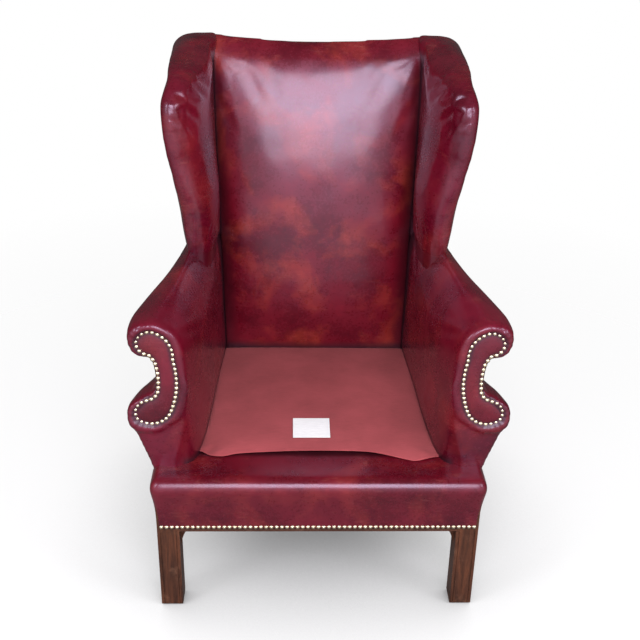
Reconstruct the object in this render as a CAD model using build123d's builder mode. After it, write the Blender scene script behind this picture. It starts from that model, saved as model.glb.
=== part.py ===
from build123d import *
import os

os.makedirs("parts", exist_ok=True)

# A wing armchair in leather over a square-legged wooden frame, without its loose seat cushion.
# X runs across the chair, Y from front to back and Z up. Millimetres.
# Left and right are as seen by someone who faces the chair.
# The origin is on the floor, under the middle of the overall box.

# Seat frame
seat_width = 700.0
rear_width = 588.0
leg_size = 48.0
rail_bottom = 207.0
rail_height = 85.0
rail_thick = 30.0
rear_leg_width = 40.0
rear_leg_depth = 42.0
rear_leg_face = 630.0
rear_foot_rake = 66.0
rear_foot_size = 38.0
leg_bead = 4.0
leg_bead_in = 7.0
foot_chamfer = 3.0

# Joints of the seat frame
tenon_thick = 12.0
tenon_height = 60.0
tenon_length = 24.0
rear_tenon_length = 20.0
rear_tenon_shift = 4.0
joint_gap = 0.15
lap_height = 80.0

# Brackets between the front legs and the front rail
bracket_width = 26.0
bracket_height = 62.0
bracket_thick = 18.0
bracket_setback = 25.0

# Corner blocks and their screws
block_leg = 62.0
block_height = 38.0
block_drop = 20.0
screw_head = 8.0
screw_head_height = 3.0
screw_shank = 4.0
screw_length = 34.0
screw_spread = 16.0

# Upholstered outline
leather = 1.6
cloth = 1.0
ease = 0.3
deck_height = 342.0
deck_crown = 8.0
lip_overhang = 11.0
lip_round = 14.0
deck_seam = 105.0
cover_hem = 215.0
crest_height = 1108.0
ear_height = 1126.0

# Back
back_front = 601.0
back_lean = 0.12
back_crown = 30.0
crease_half = 235.0
crease_flare = 0.028
pad_depth = 45.0
post_width = 32.0
post_x = 278.0
crest_rail_height = 34.0
crest_rail_half = 322.0
crest_rail_drop = 18.0
crest_tenon = 14.0
crest_tenon_length = 22.0
tack_rail_height = 40.0
tack_rail_rise = 84.0

# Arms
arm_front = 57.0
arm_top = 686.0
arm_roll = 53.0
arm_lobe = 66.0
arm_inner_front = 275.0
arm_waist_in = 12.0
arm_edge = 11.0
arm_foot = 68.0
arm_cover_tuck = 5.5
arm_cover_start = 96.0
stump_thick = 30.0
stump_inset = 12.0
arm_rail_width = 34.0
arm_rail_thick = 24.0
arm_tack_width = 18.0
arm_tack_height = 34.0
arm_tack_rise = 64.0
arm_rail_front_x = 325.0
arm_rail_drop = 31.0
arm_tack_front_x = 306.0
arm_tack_rear_x = 272.0

# Wings
wing_front = 388.0
wing_outer = 343.0
wing_thick = 47.0
wing_round = 21.0
wing_rear_outer = 340.0
wing_sweep = 100.0
wing_flare = 40.0
wing_tuck = 46.0
wing_post_foot = (281.0, 452.0)
wing_post_head = (311.0, 424.0)
wing_post_top = 1015.0
wing_rail_rear = (300.0, 740.0)
wing_rail_rear_height = 1072.0
wing_post_width = 22.0
wing_post_depth = 30.0
wing_edge = 10.0
wing_rail_width = 24.0
wing_rail_height = 26.0

# Springing and linings
strap_width = 50.0
strap_thick = 2.0
strap_inset = 6.0
strap_count = 6
strap_pitch = 78.0
cross_strap_count = 6
cross_strap_pitch = 98.0
back_strap_count = 3
back_strap_pitch = 140.0
back_cross_count = 5
lining_inset = 8.0
hessian = 1.0
spring_radius = 40.0
spring_wire = 3.6
spring_turns = 4.0
spring_pitch_across = 150.0
spring_pitch_deep = 155.0
spring_count = 3
edge_roll_radius = 14.0

# Nails
nail_head = 9.5
nail_dome = 3.2
nail_shank = 1.6
nail_length = 9.0
nail_pitch = 11.2
nail_hem = 4.5
facing_thick = 1.6
facing_lap = 8.0

# Label
label_width = 84.0
label_depth = 78.0
label_thick = 0.6
label_place = 193.0
label_shift = -14.0

overrun = 60.0

# Places worked out from the sizes above
rail_top = rail_bottom + rail_height
half_seat = seat_width / 2
half_rear = rear_width / 2
rear_leg_back = rear_leg_face + rear_leg_depth
back_depth = rear_leg_back + leather - back_front + back_lean * (deck_height - rail_top)
post_depth = back_depth - leather - pad_depth
rear_reach = back_front + back_lean * (crest_height - deck_height) + back_depth
front_y = lip_overhang - (lip_overhang + rear_reach) / 2
arm_rise = arm_top - rail_top
arm_run = back_front - arm_front
back_rise = crest_height - rail_top
wing_low = arm_top - wing_tuck
wing_rise = ear_height - wing_low
lap_plane = rear_leg_face + rear_leg_depth / 2
lap_top = rail_top + lap_height
rail_run = rear_leg_face - leg_size
rail_slant = (half_seat - half_rear) / rail_run


def deep(distance):
    """Y of a place that lies this far behind the front faces of the front legs."""
    return front_y + distance


def upright(distance):
    """An upright plane across the chair, this far back, with X across and Y up."""
    return Plane.XZ.offset(-deep(distance))


def level(height):
    """A level plane at a height above the floor."""
    return Plane.XY.offset(height)


def rail_line(distance):
    """X of the outer face of the right side rail, this far back."""
    return half_seat - rail_slant * (distance - leg_size)


def back_face(height):
    """How far back the inside back lies at its side seams, at a height."""
    return back_front + back_lean * (height - deck_height)


def crease(height):
    """X of the seam between the inside back and the right arm or wing, at a height."""
    return crease_half + crease_flare * (height - deck_height)


def inset(points, amount):
    """Moves every side of a closed outline inward by an amount, or outward if it is negative."""
    corners = [Vector(*point) for point in points]
    area = sum(a.cross(b).Z for a, b in zip(corners, corners[1:] + corners[:1]))
    turn = 90 if area > 0 else -90
    moved = []
    for before, here, after in zip(corners[-1:] + corners[:-1], corners, corners[1:] + corners[:1]):
        first = (here - before).normalized().rotate(Axis.Z, turn)
        second = (after - here).normalized().rotate(Axis.Z, turn)
        moved.append(here + (first + second) * (amount / (1 + first.dot(second))))
    return moved


def outline(points, pattern):
    """Draws a closed run through points: an L takes the next point, an A the next two as an arc."""
    ring = list(points) + [points[0]]
    place = 0
    with BuildLine() as edge:
        for kind in pattern:
            if kind == "A":
                ThreePointArc(ring[place], ring[place + 1], ring[place + 2])
                place += 2
            else:
                Line(ring[place], ring[place + 1])
                place += 1
    return edge.edges()


def skin_through(stations, pattern):
    """Lofts one outline through its stations, each a plane and the points drawn on it."""
    with BuildPart() as body:
        for plane, points in stations:
            with BuildSketch(plane):
                make_face(outline(points, pattern))
        loft(ruled=True)
    return body.part


def bar(start, end, width, thickness):
    """A straight rectangular member between two places, its width along X where that is square."""
    run = Vector(*end) - Vector(*start)
    across = (1, 0, 0)
    with BuildPart() as member:
        with BuildSketch(Plane(origin=start, x_dir=across, z_dir=run)):
            Rectangle(width, thickness)
        extrude(amount=run.length)
    return member.part


def save(part, name):
    """Labels one piece and writes its file."""
    part.label = name
    export_step(part, f"parts/{name}.step")


def save_pair(part, name):
    """Writes the right-hand piece and its mirror image on the left."""
    save(part, name + "_right")
    with BuildPart() as other:
        mirror(part, about=Plane.YZ)
    save(other.part, name + "_left")


def less(part, others):
    """A piece with its neighbours' shapes taken out of it."""
    with BuildPart() as cut:
        add(part)
        for other in others:
            add(other, mode=Mode.SUBTRACT)
    return cut.part


def widest(part):
    """The largest solid of a piece, without any offcuts."""
    with BuildPart() as kept:
        add(part.solids().sort_by(SortBy.VOLUME)[-1])
    return kept.part


def both(part):
    """A piece and its mirror image."""
    with BuildPart() as pair:
        add(part)
        mirror(part, about=Plane.YZ)
    return pair.part


# Seat rails with their tenons

def front_tenon(gap):
    """The tenon at the right end of the front rail, grown by a gap for its mortise."""
    with BuildPart() as tenon:
        with BuildSketch(Plane.YZ.offset(half_seat - leg_size - tenon_length - gap)):
            with Locations((deep(rail_thick / 2), rail_bottom + rail_height / 2)):
                Rectangle(tenon_thick + 2 * gap, tenon_height + 2 * gap)
        extrude(amount=tenon_length + gap)
    return tenon.part


def rear_tenon(gap):
    """The tenon at the right end of the rear rail, grown by a gap for its mortise."""
    with BuildPart() as tenon:
        with BuildSketch(Plane.YZ.offset(half_rear - rear_leg_width)):
            with Locations(
                (deep(rear_leg_back - rail_thick / 2 + rear_tenon_shift), rail_bottom + rail_height / 2)
            ):
                Rectangle(tenon_thick + 2 * gap, tenon_height + 2 * gap)
        extrude(amount=rear_tenon_length + gap)
    return tenon.part


def side_tenons(gap):
    """Both tenons of the right side rail as one bar that follows the rail's slant."""
    front_end = leg_size - tenon_length - gap
    rear_end = rear_leg_face + rear_tenon_length + gap
    middle = rail_thick / 2
    reach = tenon_thick / 2 + gap
    corners = [
        (rail_line(front_end) - middle + reach, deep(front_end)),
        (rail_line(rear_end) - middle + reach, deep(rear_end)),
        (rail_line(rear_end) - middle - reach, deep(rear_end)),
        (rail_line(front_end) - middle - reach, deep(front_end)),
    ]
    with BuildPart() as tenons:
        with BuildSketch(level(rail_bottom + (rail_height - tenon_height) / 2 - gap)):
            make_face(outline(corners, "LLLL"))
        extrude(amount=tenon_height + 2 * gap)
    return tenons.part


with BuildPart() as front_seat_rail:
    with BuildSketch(level(rail_bottom)):
        with Locations((0, deep(rail_thick / 2))):
            Rectangle(seat_width - 2 * leg_size, rail_thick)
    extrude(amount=rail_height)
    add(both(front_tenon(0)))
save(front_seat_rail.part, "front_seat_rail")

with BuildPart() as rear_seat_rail:
    with BuildSketch(level(rail_bottom)):
        with Locations((0, deep(rear_leg_back - rail_thick / 2))):
            Rectangle(rear_width - 2 * rear_leg_width, rail_thick)
    extrude(amount=rail_height)
    add(both(rear_tenon(0)))
save(rear_seat_rail.part, "rear_seat_rail")

with BuildPart() as side_seat_rail:
    with BuildSketch(level(rail_bottom)):
        make_face(
            outline(
                [
                    (rail_line(leg_size), deep(leg_size)),
                    (rail_line(rear_leg_face), deep(rear_leg_face)),
                    (rail_line(rear_leg_face) - rail_thick, deep(rear_leg_face)),
                    (rail_line(leg_size) - rail_thick, deep(leg_size)),
                ],
                "LLLL",
            )
        )
    extrude(amount=rail_height)
    add(side_tenons(0))
save_pair(side_seat_rail.part, "side_seat_rail")

# Legs

with BuildPart() as front_leg:
    with BuildSketch(level(0)):
        with Locations((half_seat - leg_size / 2, deep(leg_size / 2))):
            Rectangle(leg_size, leg_size)
    extrude(amount=rail_top)
    chamfer(front_leg.faces().sort_by(Axis.Z)[0].edges(), length=foot_chamfer)
    with BuildSketch(level(rail_bottom)):
        with Locations((half_seat - leg_bead_in, deep(0)), (half_seat - leg_size + leg_bead_in, deep(0))):
            Rectangle(leg_bead / 2, leg_bead)
        with Locations((half_seat, deep(leg_bead_in)), (half_seat, deep(leg_size - leg_bead_in))):
            Rectangle(leg_bead, leg_bead / 2)
    extrude(amount=-rail_bottom, mode=Mode.SUBTRACT)
    add(front_tenon(joint_gap), mode=Mode.SUBTRACT)
    add(side_tenons(joint_gap), mode=Mode.SUBTRACT)
save_pair(front_leg.part, "front_leg")

with BuildPart() as rear_leg:
    with BuildSketch(Plane.YZ.offset(half_rear - rear_leg_width)):
        foot_front = deep(rear_leg_face + rear_foot_rake)
        make_face(
            outline(
                [
                    (foot_front, 0),
                    (foot_front + rear_foot_size, 0),
                    (deep(rear_leg_back), rail_bottom),
                    (deep(rear_leg_back), rail_top),
                    (deep(lap_plane), rail_top),
                    (deep(lap_plane), lap_top),
                    (deep(rear_leg_face), lap_top),
                    (deep(rear_leg_face), rail_bottom),
                ],
                "LLLLLLLL",
            )
        )
    extrude(amount=rear_leg_width)
    add(rear_tenon(joint_gap), mode=Mode.SUBTRACT)
    add(side_tenons(joint_gap), mode=Mode.SUBTRACT)
save_pair(rear_leg.part, "rear_leg")

with BuildPart() as front_leg_bracket:
    with BuildSketch(upright(bracket_setback + bracket_thick)):
        corner_x = half_seat - leg_size
        with BuildLine():
            Line((corner_x, rail_bottom), (corner_x, rail_bottom - bracket_height))
            RadiusArc(
                (corner_x, rail_bottom - bracket_height),
                (corner_x - bracket_width, rail_bottom),
                -(bracket_height + bracket_width),
            )
            Line((corner_x - bracket_width, rail_bottom), (corner_x, rail_bottom))
        make_face()
    extrude(amount=bracket_thick)
save_pair(front_leg_bracket.part, "front_leg_bracket")

# Glued and screwed corner blocks

block_top = rail_top - block_drop


def corner_block(distance, way):
    """A three-cornered block where a side rail meets an end rail, way 1 at the front and -1 behind."""
    corner_x = rail_line(distance) - rail_thick
    with BuildPart() as block:
        with BuildSketch(level(block_top - block_height)):
            make_face(
                outline(
                    [
                        (corner_x, deep(distance)),
                        (corner_x - block_leg, deep(distance)),
                        (corner_x - way * rail_slant * block_leg, deep(distance + way * block_leg)),
                    ],
                    "LLL",
                )
            )
        extrude(amount=block_height)
    return block.part


def block_screws(distance, way):
    """The two screws that hold a corner block to its leg."""
    corner_x = rail_line(distance) - rail_thick
    seat = (corner_x - block_leg / 2, deep(distance + way * block_leg / 2))
    with BuildPart() as screws:
        for side in (-1, 1):
            height = block_top - block_height / 2 + side * screw_spread / 2
            with BuildSketch(Plane(origin=(*seat, height), z_dir=(1, -way, 0))):
                Circle(screw_head / 2)
            extrude(amount=-screw_head_height)
            with BuildSketch(Plane(origin=(*seat, height), z_dir=(1, -way, 0))):
                Circle(screw_shank / 2)
            extrude(amount=screw_length)
    return screws.part


front_inner = rail_thick
rear_inner = rear_leg_back - rail_thick
save(both(less(corner_block(front_inner, 1), [front_leg.part, side_seat_rail.part])), "front_corner_blocks")
save(both(less(corner_block(rear_inner, -1), [rear_leg.part, side_seat_rail.part])), "rear_corner_blocks")
with BuildPart() as corner_block_screws:
    add(both(block_screws(front_inner, 1)))
    add(both(block_screws(rear_inner, -1)))
save(corner_block_screws.part, "corner_block_screws")

# Back frame

def post_front(height):
    """How far back the front faces of the back posts lie at a height."""
    return back_face(height) + pad_depth


def leaning(low, high, front, depth, near, far):
    """A member that follows the lean of the back, between two heights and two places across."""
    with BuildPart() as member:
        with BuildSketch(Plane.YZ.offset(near)):
            make_face(
                outline(
                    [
                        (deep(front(low)), low),
                        (deep(front(low) + depth), low),
                        (deep(front(high) + depth), high),
                        (deep(front(high)), high),
                    ],
                    "LLLL",
                )
            )
        extrude(amount=far - near)
    return member.part


crest_rail_top = crest_height - crest_rail_drop
crest_rail_low = crest_rail_top - crest_rail_height
post_near = post_x - post_width / 2
post_far = post_x + post_width / 2


def post_tenon(gap):
    """The tenon on top of a back post, grown by a gap for its mortise in the crest rail."""
    top = crest_rail_low + crest_tenon_length + gap

    def tenon_front(height):
        return post_front(height) + (post_depth - crest_tenon) / 2 - gap

    reach = crest_tenon / 2 + gap
    return leaning(crest_rail_low, top, tenon_front, crest_tenon + 2 * gap, post_x - reach, post_x + reach)


with BuildPart() as back_post:
    add(leaning(rail_top, crest_rail_low, post_front, post_depth, post_near, post_far))
    add(post_tenon(0))
    add(rear_leg.part, mode=Mode.SUBTRACT)
save_pair(back_post.part, "back_post")

with BuildPart() as crest_rail:
    add(leaning(crest_rail_low, crest_rail_top, post_front, post_depth, -crest_rail_half, crest_rail_half))
    add(both(post_tenon(joint_gap)), mode=Mode.SUBTRACT)
save(crest_rail.part, "crest_rail")

tack_low = rail_top + tack_rail_rise
with BuildPart() as back_tack_rail:
    add(leaning(tack_low, tack_low + tack_rail_height, post_front, post_depth, -post_near, post_near))
    add(both(rear_leg.part), mode=Mode.SUBTRACT)
save(back_tack_rail.part, "back_tack_rail")

# Padded forms, each drawn at any shrink from the outside of its leather

def rear_space(shrink):
    """Everything in front of the outside back, held in by a shrink."""
    far = 2 * half_seat

    def rear(height):
        return deep(back_face(height) + back_depth - shrink)

    with BuildPart() as space:
        with BuildSketch(Plane.YZ.offset(-far)):
            make_face(
                outline([(-far, 0), (rear(0), 0), (rear(2 * far), 2 * far), (-far, 2 * far)], "LLLL")
            )
        extrude(amount=2 * far)
    return space.part


# Arm stations: depth, roll, lobe, inner side, waist and foot, as shares of the named sizes
arm_station_shares = [
    (0.033, 1, 0.93, 0.94, 0.94, 0.42),
    (0.068, 1, 0.85, 0.87, 0.88, 0.14),
    (0.116, 1, 0.75, 0.78, 0.8, 0.03),
    (0.263, 0.8, 0.15, 0.6, 0.6, 0),
    (0.483, 0.5, 0.08, 0.45, 0.4, 0),
    (0.686, 0.25, 0.06, 0.36, 0.2, 0),
    (1, 0.15, 0.06, 0, 0, 0),
]
# The rounded front edge: depth, draw-in and foot, as shares
arm_edge_shares = [(0, 0.9, 0.75), (0.27, 0.27, 0.8), (1, 0, 0.62)]
lobe_shares = [(1, 0.409), (0.955, 0.495), (0.5, 0.548), (0.2, 0.576), (0.08, 0.607)]
neck_shares = [(0, 0.66), (0.06, 0.761), (0.25, 0.797)]
roll_shares = [(0.87, 0.827), (1, 0.909), (0.8, 0.977)]
crown_shares = [(0.6, 1), (0.24, 0.949), (0.085, 0.853)]
side_share = 0.579
arm_pattern = "LAAALAAALLL"


def arm_points(distance, roll, lobe, inner, waist, foot, shrink, low):
    """The outline of the right arm across the chair, seen from the front."""
    panel = rail_line(min(distance, rear_leg_face)) + leather
    waist_x = panel - arm_waist_in * waist
    tip_x = waist_x + arm_roll * roll

    def height(share):
        return rail_top + arm_rise * share

    def inner_x(share):
        seam = crease(height(share)) + ease / 2
        return seam + (arm_inner_front - crease(height(side_share))) * inner

    points = [(panel, rail_top)]
    points += [(waist_x + arm_lobe * lobe * x, height(z)) for x, z in lobe_shares]
    points += [(waist_x + arm_roll * roll * x, height(z)) for x, z in neck_shares + roll_shares]
    points += [(inner_x(z) + (tip_x - inner_x(z)) * x, height(z)) for x, z in crown_shares]
    points += [(inner_x(side_share), height(side_share)), (inner_x(0) + arm_foot * foot, rail_top)]
    moved = inset(points, shrink)
    moved[0] = Vector(moved[0].X, low)
    moved[-1] = Vector(moved[-1].X, low)
    return moved


def arm_form(shrink, low):
    """The right arm from its front face to well behind the chair, down to a level."""
    stations = []
    for deep_share, edge_share, foot in arm_edge_shares:
        points = arm_points(arm_front, 1, 1, 1, 1, foot, shrink + arm_edge * edge_share, low)
        stations.append((upright(arm_front + shrink + arm_edge * deep_share), points))
    for deep_share, *shares in arm_station_shares:
        distance = arm_front + arm_run * deep_share
        stations.append((upright(distance), arm_points(distance, *shares, shrink, low)))
    for distance in (rear_leg_face, rear_reach + overrun):
        stations.append((upright(distance), arm_points(distance, *shares, shrink, low)))
    return skin_through(stations, arm_pattern)


# Wing stations: height, front setback, front and rear draw-in, and rear roll, as shares
wing_station_shares = [
    (0, 0.37, 0.95, 0.92, 0),
    (0.103, 0.32, 0.95, 0.8, 0),
    (0.267, 0.22, 0.9, 0.65, 0),
    (0.422, 0.12, 0.575, 0.45, 0),
    (0.556, 0.07, 0.25, 0.3, 0),
    (0.695, 0, 0.05, 0.15, 0),
    (0.819, 0.07, 0, 0, 0),
    (0.874, 0.27, 0.125, 0, 0),
    (0.914, 0.52, 0.25, 0, 0),
    (0.947, 0.97, 0.45, 0.1, 0),
    (0.984, 2.1, 0.775, 0.45, 0.08),
    (1, 2.5, 0.95, 0.75, 0.3),
]


def wing_points(height, setback, front_draw, rear_draw, rear_roll, shrink):
    """The plan of the right wing at a height, open behind unless its top rolls over."""
    front = wing_front + wing_sweep * setback
    outer = wing_outer - wing_flare * front_draw
    rear_outer = wing_rear_outer - wing_flare * rear_draw
    seam = crease(height) + ease / 2
    rear = back_face(height) + back_depth
    rear += -back_depth * rear_roll if rear_roll else overrun
    points = [
        (seam, deep(rear)),
        (seam, deep(max(back_face(height), front + wing_thick))),
        (outer - wing_thick, deep(front + wing_round)),
        (outer - wing_thick / 2, deep(front)),
        (outer, deep(front + wing_round)),
        (rear_outer, deep(rear)),
    ]
    return inset(points, shrink)


def wing_form(shrink):
    """The right wing from below the arm's crown to its ear."""
    stations = []
    for rise, *shares in wing_station_shares:
        height = wing_low + wing_rise * rise
        if rise == 1:
            height -= shrink
        stations.append((level(height), wing_points(height, *shares, shrink)))
    return skin_through(stations, "LLALL")


# Back stations: height, crown, front roll and rear roll, as shares
back_station_shares = [
    (0, 0.07, 0, 0),
    (0.061, 0.2, 0, 0),
    (0.194, 0.6, 0, 0),
    (0.377, 0.87, 0, 0),
    (0.561, 1, 0, 0),
    (0.745, 0.87, 0, 0),
    (0.892, 0.5, 0, 0),
    (0.96, 0.2, 0, 0),
    (0.988, 0.12, 0.12, 0.08),
    (1, 0.1, 0.35, 0.3),
]


def back_points(height, crown, front_roll, rear_roll, shrink):
    """The plan of the inside back at a height, open behind unless its top rolls over."""
    half = crease(height) - ease / 2
    front = back_face(height) + back_depth * front_roll
    rear = back_face(height) + back_depth
    rear += -back_depth * rear_roll if rear_roll else overrun
    points = [
        (-half, deep(front)),
        (0, deep(front - back_crown * crown)),
        (half, deep(front)),
        (half, deep(rear)),
        (-half, deep(rear)),
    ]
    return inset(points, shrink)


def back_form(shrink, low):
    """The inside back from a level up over the crest."""
    stations = []
    if low < rail_top:
        stations.append((level(low), back_points(rail_top, *back_station_shares[0][1:], shrink)))
    for rise, *shares in back_station_shares:
        height = rail_top + back_rise * rise
        if rise == 1:
            height -= shrink
        stations.append((level(height), back_points(height, *shares, shrink)))
    return skin_through(stations, "ALLL")


# Lip stations up the seat's front: height and overhang, as shares
lip_station_shares = [(0.55, 0.2), (0.7, 0.7), (0.86, 1), (0.95, 0.75), (1, -0.4)]


def lip_points(out, radius, rear):
    """The plan of the seat's front, wider than the rails by out, with rounded corners."""
    half = half_seat + out
    turn = radius * (1 - 0.5 ** 0.5)
    return [
        (half, deep(rear)),
        (half, deep(radius - out)),
        (half - turn, deep(turn - out)),
        (half - radius, deep(-out)),
        (radius - half, deep(-out)),
        (turn - half, deep(turn - out)),
        (-half, deep(radius - out)),
        (-half, deep(rear)),
    ]


def lip_form(shrink, rear, low):
    """The seat's front from a level up to its crest."""
    hem = leather - shrink
    rise = deck_height - cover_hem
    stations = [(level(low), lip_points(hem, lip_round / 3, rear))]
    for height_share, out_share in lip_station_shares:
        height = cover_hem + rise * height_share
        if height_share == 1:
            height -= shrink
        out = leather + (lip_overhang - leather) * out_share - shrink
        stations.append((level(height), lip_points(out, lip_round, rear)))
    return skin_through(stations, "LALALL")


def deck_form(shrink, start, low):
    """The nearly flat seat between the arms, from a place near the front to the back."""
    with BuildPart() as deck:
        with BuildSketch(Plane.YZ.offset(-half_seat)):
            make_face(
                outline(
                    [
                        (deep(start), low),
                        (deep(start), deck_height - shrink),
                        (deep((start + back_front) / 2), deck_height + deck_crown - shrink),
                        (deep(back_front), deck_height - shrink),
                        (deep(back_front), low),
                    ],
                    "LALL",
                )
            )
        extrude(amount=seat_width)
    return deck.part


def within(part, space):
    """The share of a piece that lies in a space."""
    with BuildPart() as kept:
        add(part)
        add(space, mode=Mode.INTERSECT)
    return kept.part


# Arm frame, with the stump's inner front corner rounded off under the leather

under = leather + ease
with BuildPart() as arm_stump:
    with BuildSketch(upright(arm_front + leather + stump_thick)):
        make_face(outline(arm_points(arm_front, 1, 1, 1, 1, 0, stump_inset, rail_top), arm_pattern))
    extrude(amount=stump_thick)
    add(arm_form(under, rail_top), mode=Mode.INTERSECT)
save_pair(arm_stump.part, "arm_stump")

arm_rail_height = arm_top - arm_rail_drop
arm_rail = widest(less(
    bar(
        (arm_rail_front_x, deep(arm_front + leather + stump_thick / 2), arm_rail_height),
        (post_x, deep(post_front(arm_rail_height) + post_depth / 2), arm_rail_height),
        arm_rail_width,
        arm_rail_thick,
    ),
    [arm_stump.part, back_post.part],
))
save_pair(arm_rail, "arm_rail")

arm_tack_middle = rail_top + arm_tack_rise + arm_tack_height / 2
arm_tack_rail = widest(less(
    bar(
        (arm_tack_front_x, deep(arm_front + leather + stump_thick / 2), arm_tack_middle),
        (arm_tack_rear_x, deep(post_front(arm_tack_middle) + post_depth / 2), arm_tack_middle),
        arm_tack_width,
        arm_tack_height,
    ),
    [arm_stump.part, back_post.part, rear_leg.part],
))
save_pair(arm_tack_rail, "arm_tack_rail")

# Wing frame

wing_rail = widest(less(
    bar(
        (wing_post_head[0], deep(wing_post_head[1] - wing_post_depth / 2), wing_post_top),
        (wing_rail_rear[0], deep(wing_rail_rear[1]), wing_rail_rear_height),
        wing_rail_width,
        wing_rail_height,
    ),
    [crest_rail.part, back_post.part],
))
save_pair(wing_rail, "wing_rail")

wing_post = widest(less(
    bar(
        (wing_post_foot[0], deep(wing_post_foot[1]), arm_rail_height),
        (wing_post_head[0], deep(wing_post_head[1]), wing_post_top),
        wing_post_width,
        wing_post_depth,
    ),
    [arm_rail, wing_rail],
))
save_pair(wing_post, "wing_post")

# Webbing, springs and linings

middle_deep = (front_inner + rear_inner) / 2


def row(count, pitch):
    """Places of a row of things about zero."""
    return [(place - (count - 1) / 2) * pitch for place in range(count)]


def seat_plan(margin):
    """The plan of the seat frame, drawn in by a margin."""
    return inset(
        [
            (half_seat, deep(0)),
            (half_seat, deep(leg_size)),
            (half_rear, deep(rear_leg_face)),
            (half_rear, deep(rear_leg_back)),
            (-half_rear, deep(rear_leg_back)),
            (-half_rear, deep(rear_leg_face)),
            (-half_seat, deep(leg_size)),
            (-half_seat, deep(0)),
        ],
        margin,
    )


with BuildPart() as seat_webbing:
    with BuildSketch(level(rail_bottom)):
        for x in row(strap_count, strap_pitch):
            with Locations((x, deep(rear_leg_back / 2))):
                Rectangle(strap_width, rear_leg_back - 2 * strap_inset)
    extrude(amount=-strap_thick)
    with BuildSketch(level(rail_bottom - strap_thick)):
        for y in row(cross_strap_count, cross_strap_pitch):
            with Locations((0, deep(middle_deep + y))):
                reach = rail_line(middle_deep + y + strap_width / 2) - strap_inset
                Rectangle(2 * reach, strap_width)
    extrude(amount=-strap_thick)
save(seat_webbing.part, "seat_webbing")

with BuildPart() as dust_cover:
    with BuildSketch(level(rail_bottom - 2 * strap_thick)):
        make_face(outline(seat_plan(strap_inset), "LLLLLLLL"))
        with Locations(
            (half_seat - leg_size / 2, deep(leg_size / 2)), (leg_size / 2 - half_seat, deep(leg_size / 2))
        ):
            Rectangle(leg_size + 2 * ease, leg_size + 2 * ease, mode=Mode.SUBTRACT)
    extrude(amount=-cloth)
    add(both(rear_leg.part), mode=Mode.SUBTRACT)
    add(both(front_leg_bracket.part), mode=Mode.SUBTRACT)
save(dust_cover.part, "dust_cover")

with BuildPart() as spring:
    low = rail_bottom + spring_wire / 2 + ease
    high = rail_top - spring_wire / 2 - ease
    with BuildLine() as coil:
        Helix(pitch=(high - low) / spring_turns, height=high - low, radius=spring_radius, center=(0, 0, low))
    with BuildSketch(Plane(origin=coil.line @ 0, z_dir=coil.line % 0)):
        Circle(spring_wire / 2)
    sweep(is_frenet=True)

with BuildPart() as seat_springs:
    with Locations(
        *[
            (x, deep(middle_deep + y))
            for x in row(spring_count, spring_pitch_across)
            for y in row(spring_count, spring_pitch_deep)
        ]
    ):
        add(spring.part)
save(seat_springs.part, "seat_springs")

with BuildPart() as seat_hessian:
    with BuildSketch(level(rail_top)):
        make_face(outline(seat_plan(lining_inset), "LLLLLLLL"))
    extrude(amount=hessian)
    add(both(rear_leg.part), mode=Mode.SUBTRACT)
    add(both(back_post.part), mode=Mode.SUBTRACT)
    add(both(arm_stump.part), mode=Mode.SUBTRACT)
save(seat_hessian.part, "seat_hessian")

with BuildPart() as front_edge_roll:
    with BuildSketch(Plane.YZ.offset(edge_roll_radius - half_seat)):
        with Locations((deep(edge_roll_radius + ease), rail_top + hessian + edge_roll_radius)):
            Circle(edge_roll_radius)
    extrude(amount=seat_width - 2 * edge_roll_radius)
save(front_edge_roll.part, "front_edge_roll")

back_plane = Plane(
    origin=(0, deep(post_front(tack_low)), tack_low), x_dir=(1, 0, 0), z_dir=(0, -1, back_lean)
)
back_strap_top = (crest_rail_top - tack_low) * (1 + back_lean**2) ** 0.5 - strap_inset
back_strap_low = strap_inset
back_notches = [both(arm_rail), both(arm_tack_rail), both(wing_rail)]

with BuildPart() as back_webbing:
    with BuildSketch(back_plane):
        for x in row(back_strap_count, back_strap_pitch):
            with Locations((x, (back_strap_top + back_strap_low) / 2)):
                Rectangle(strap_width, back_strap_top - back_strap_low)
    extrude(amount=strap_thick)
    with BuildSketch(back_plane.offset(strap_thick)):
        for y in row(back_cross_count, (back_strap_top - tack_rail_height) / back_cross_count):
            with Locations((0, (back_strap_top + back_strap_low) / 2 + y)):
                Rectangle(2 * post_x, strap_width)
    extrude(amount=strap_thick)
    for part in back_notches:
        add(part, mode=Mode.SUBTRACT)
save(back_webbing.part, "back_webbing")

with BuildPart() as back_hessian:
    with BuildSketch(back_plane.offset(2 * strap_thick)):
        with Locations((0, (back_strap_top + back_strap_low) / 2)):
            Rectangle(2 * post_x, back_strap_top - back_strap_low)
    extrude(amount=hessian)
    for part in back_notches:
        add(part, mode=Mode.SUBTRACT)
save(back_hessian.part, "back_hessian")

# Stuffing and covers

hidden_low = rail_bottom - overrun

linings = [seat_hessian.part, back_webbing.part, back_hessian.part]
arm_frame = [arm_stump.part, arm_rail, arm_tack_rail, wing_post]
arm_frame += [back_post.part, rear_leg.part, back_tack_rail.part]
wing_frame = [wing_post, wing_rail, back_post.part, crest_rail.part]
arm_room = arm_form(-ease, rail_top)
back_room = back_form(-ease, hidden_low)

arm_pad = less(within(arm_form(under, rail_top), rear_space(under)), arm_frame + linings)
save_pair(widest(arm_pad), "arm_pad")

wing_pad = less(within(wing_form(under), rear_space(under)), [arm_room] + wing_frame + linings)
save_pair(widest(wing_pad), "wing_pad")

with BuildPart() as back_pad:
    add(within(back_form(under, rail_top), rear_space(under)))
    add(
        leaning(hidden_low, crest_rail_low, post_front, overrun, -half_seat, half_seat),
        mode=Mode.SUBTRACT,
    )
    for part in linings + [crest_rail.part, back_tack_rail.part, both(rear_leg.part)]:
        add(part, mode=Mode.SUBTRACT)
save(widest(back_pad.part), "back_pad")

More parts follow.
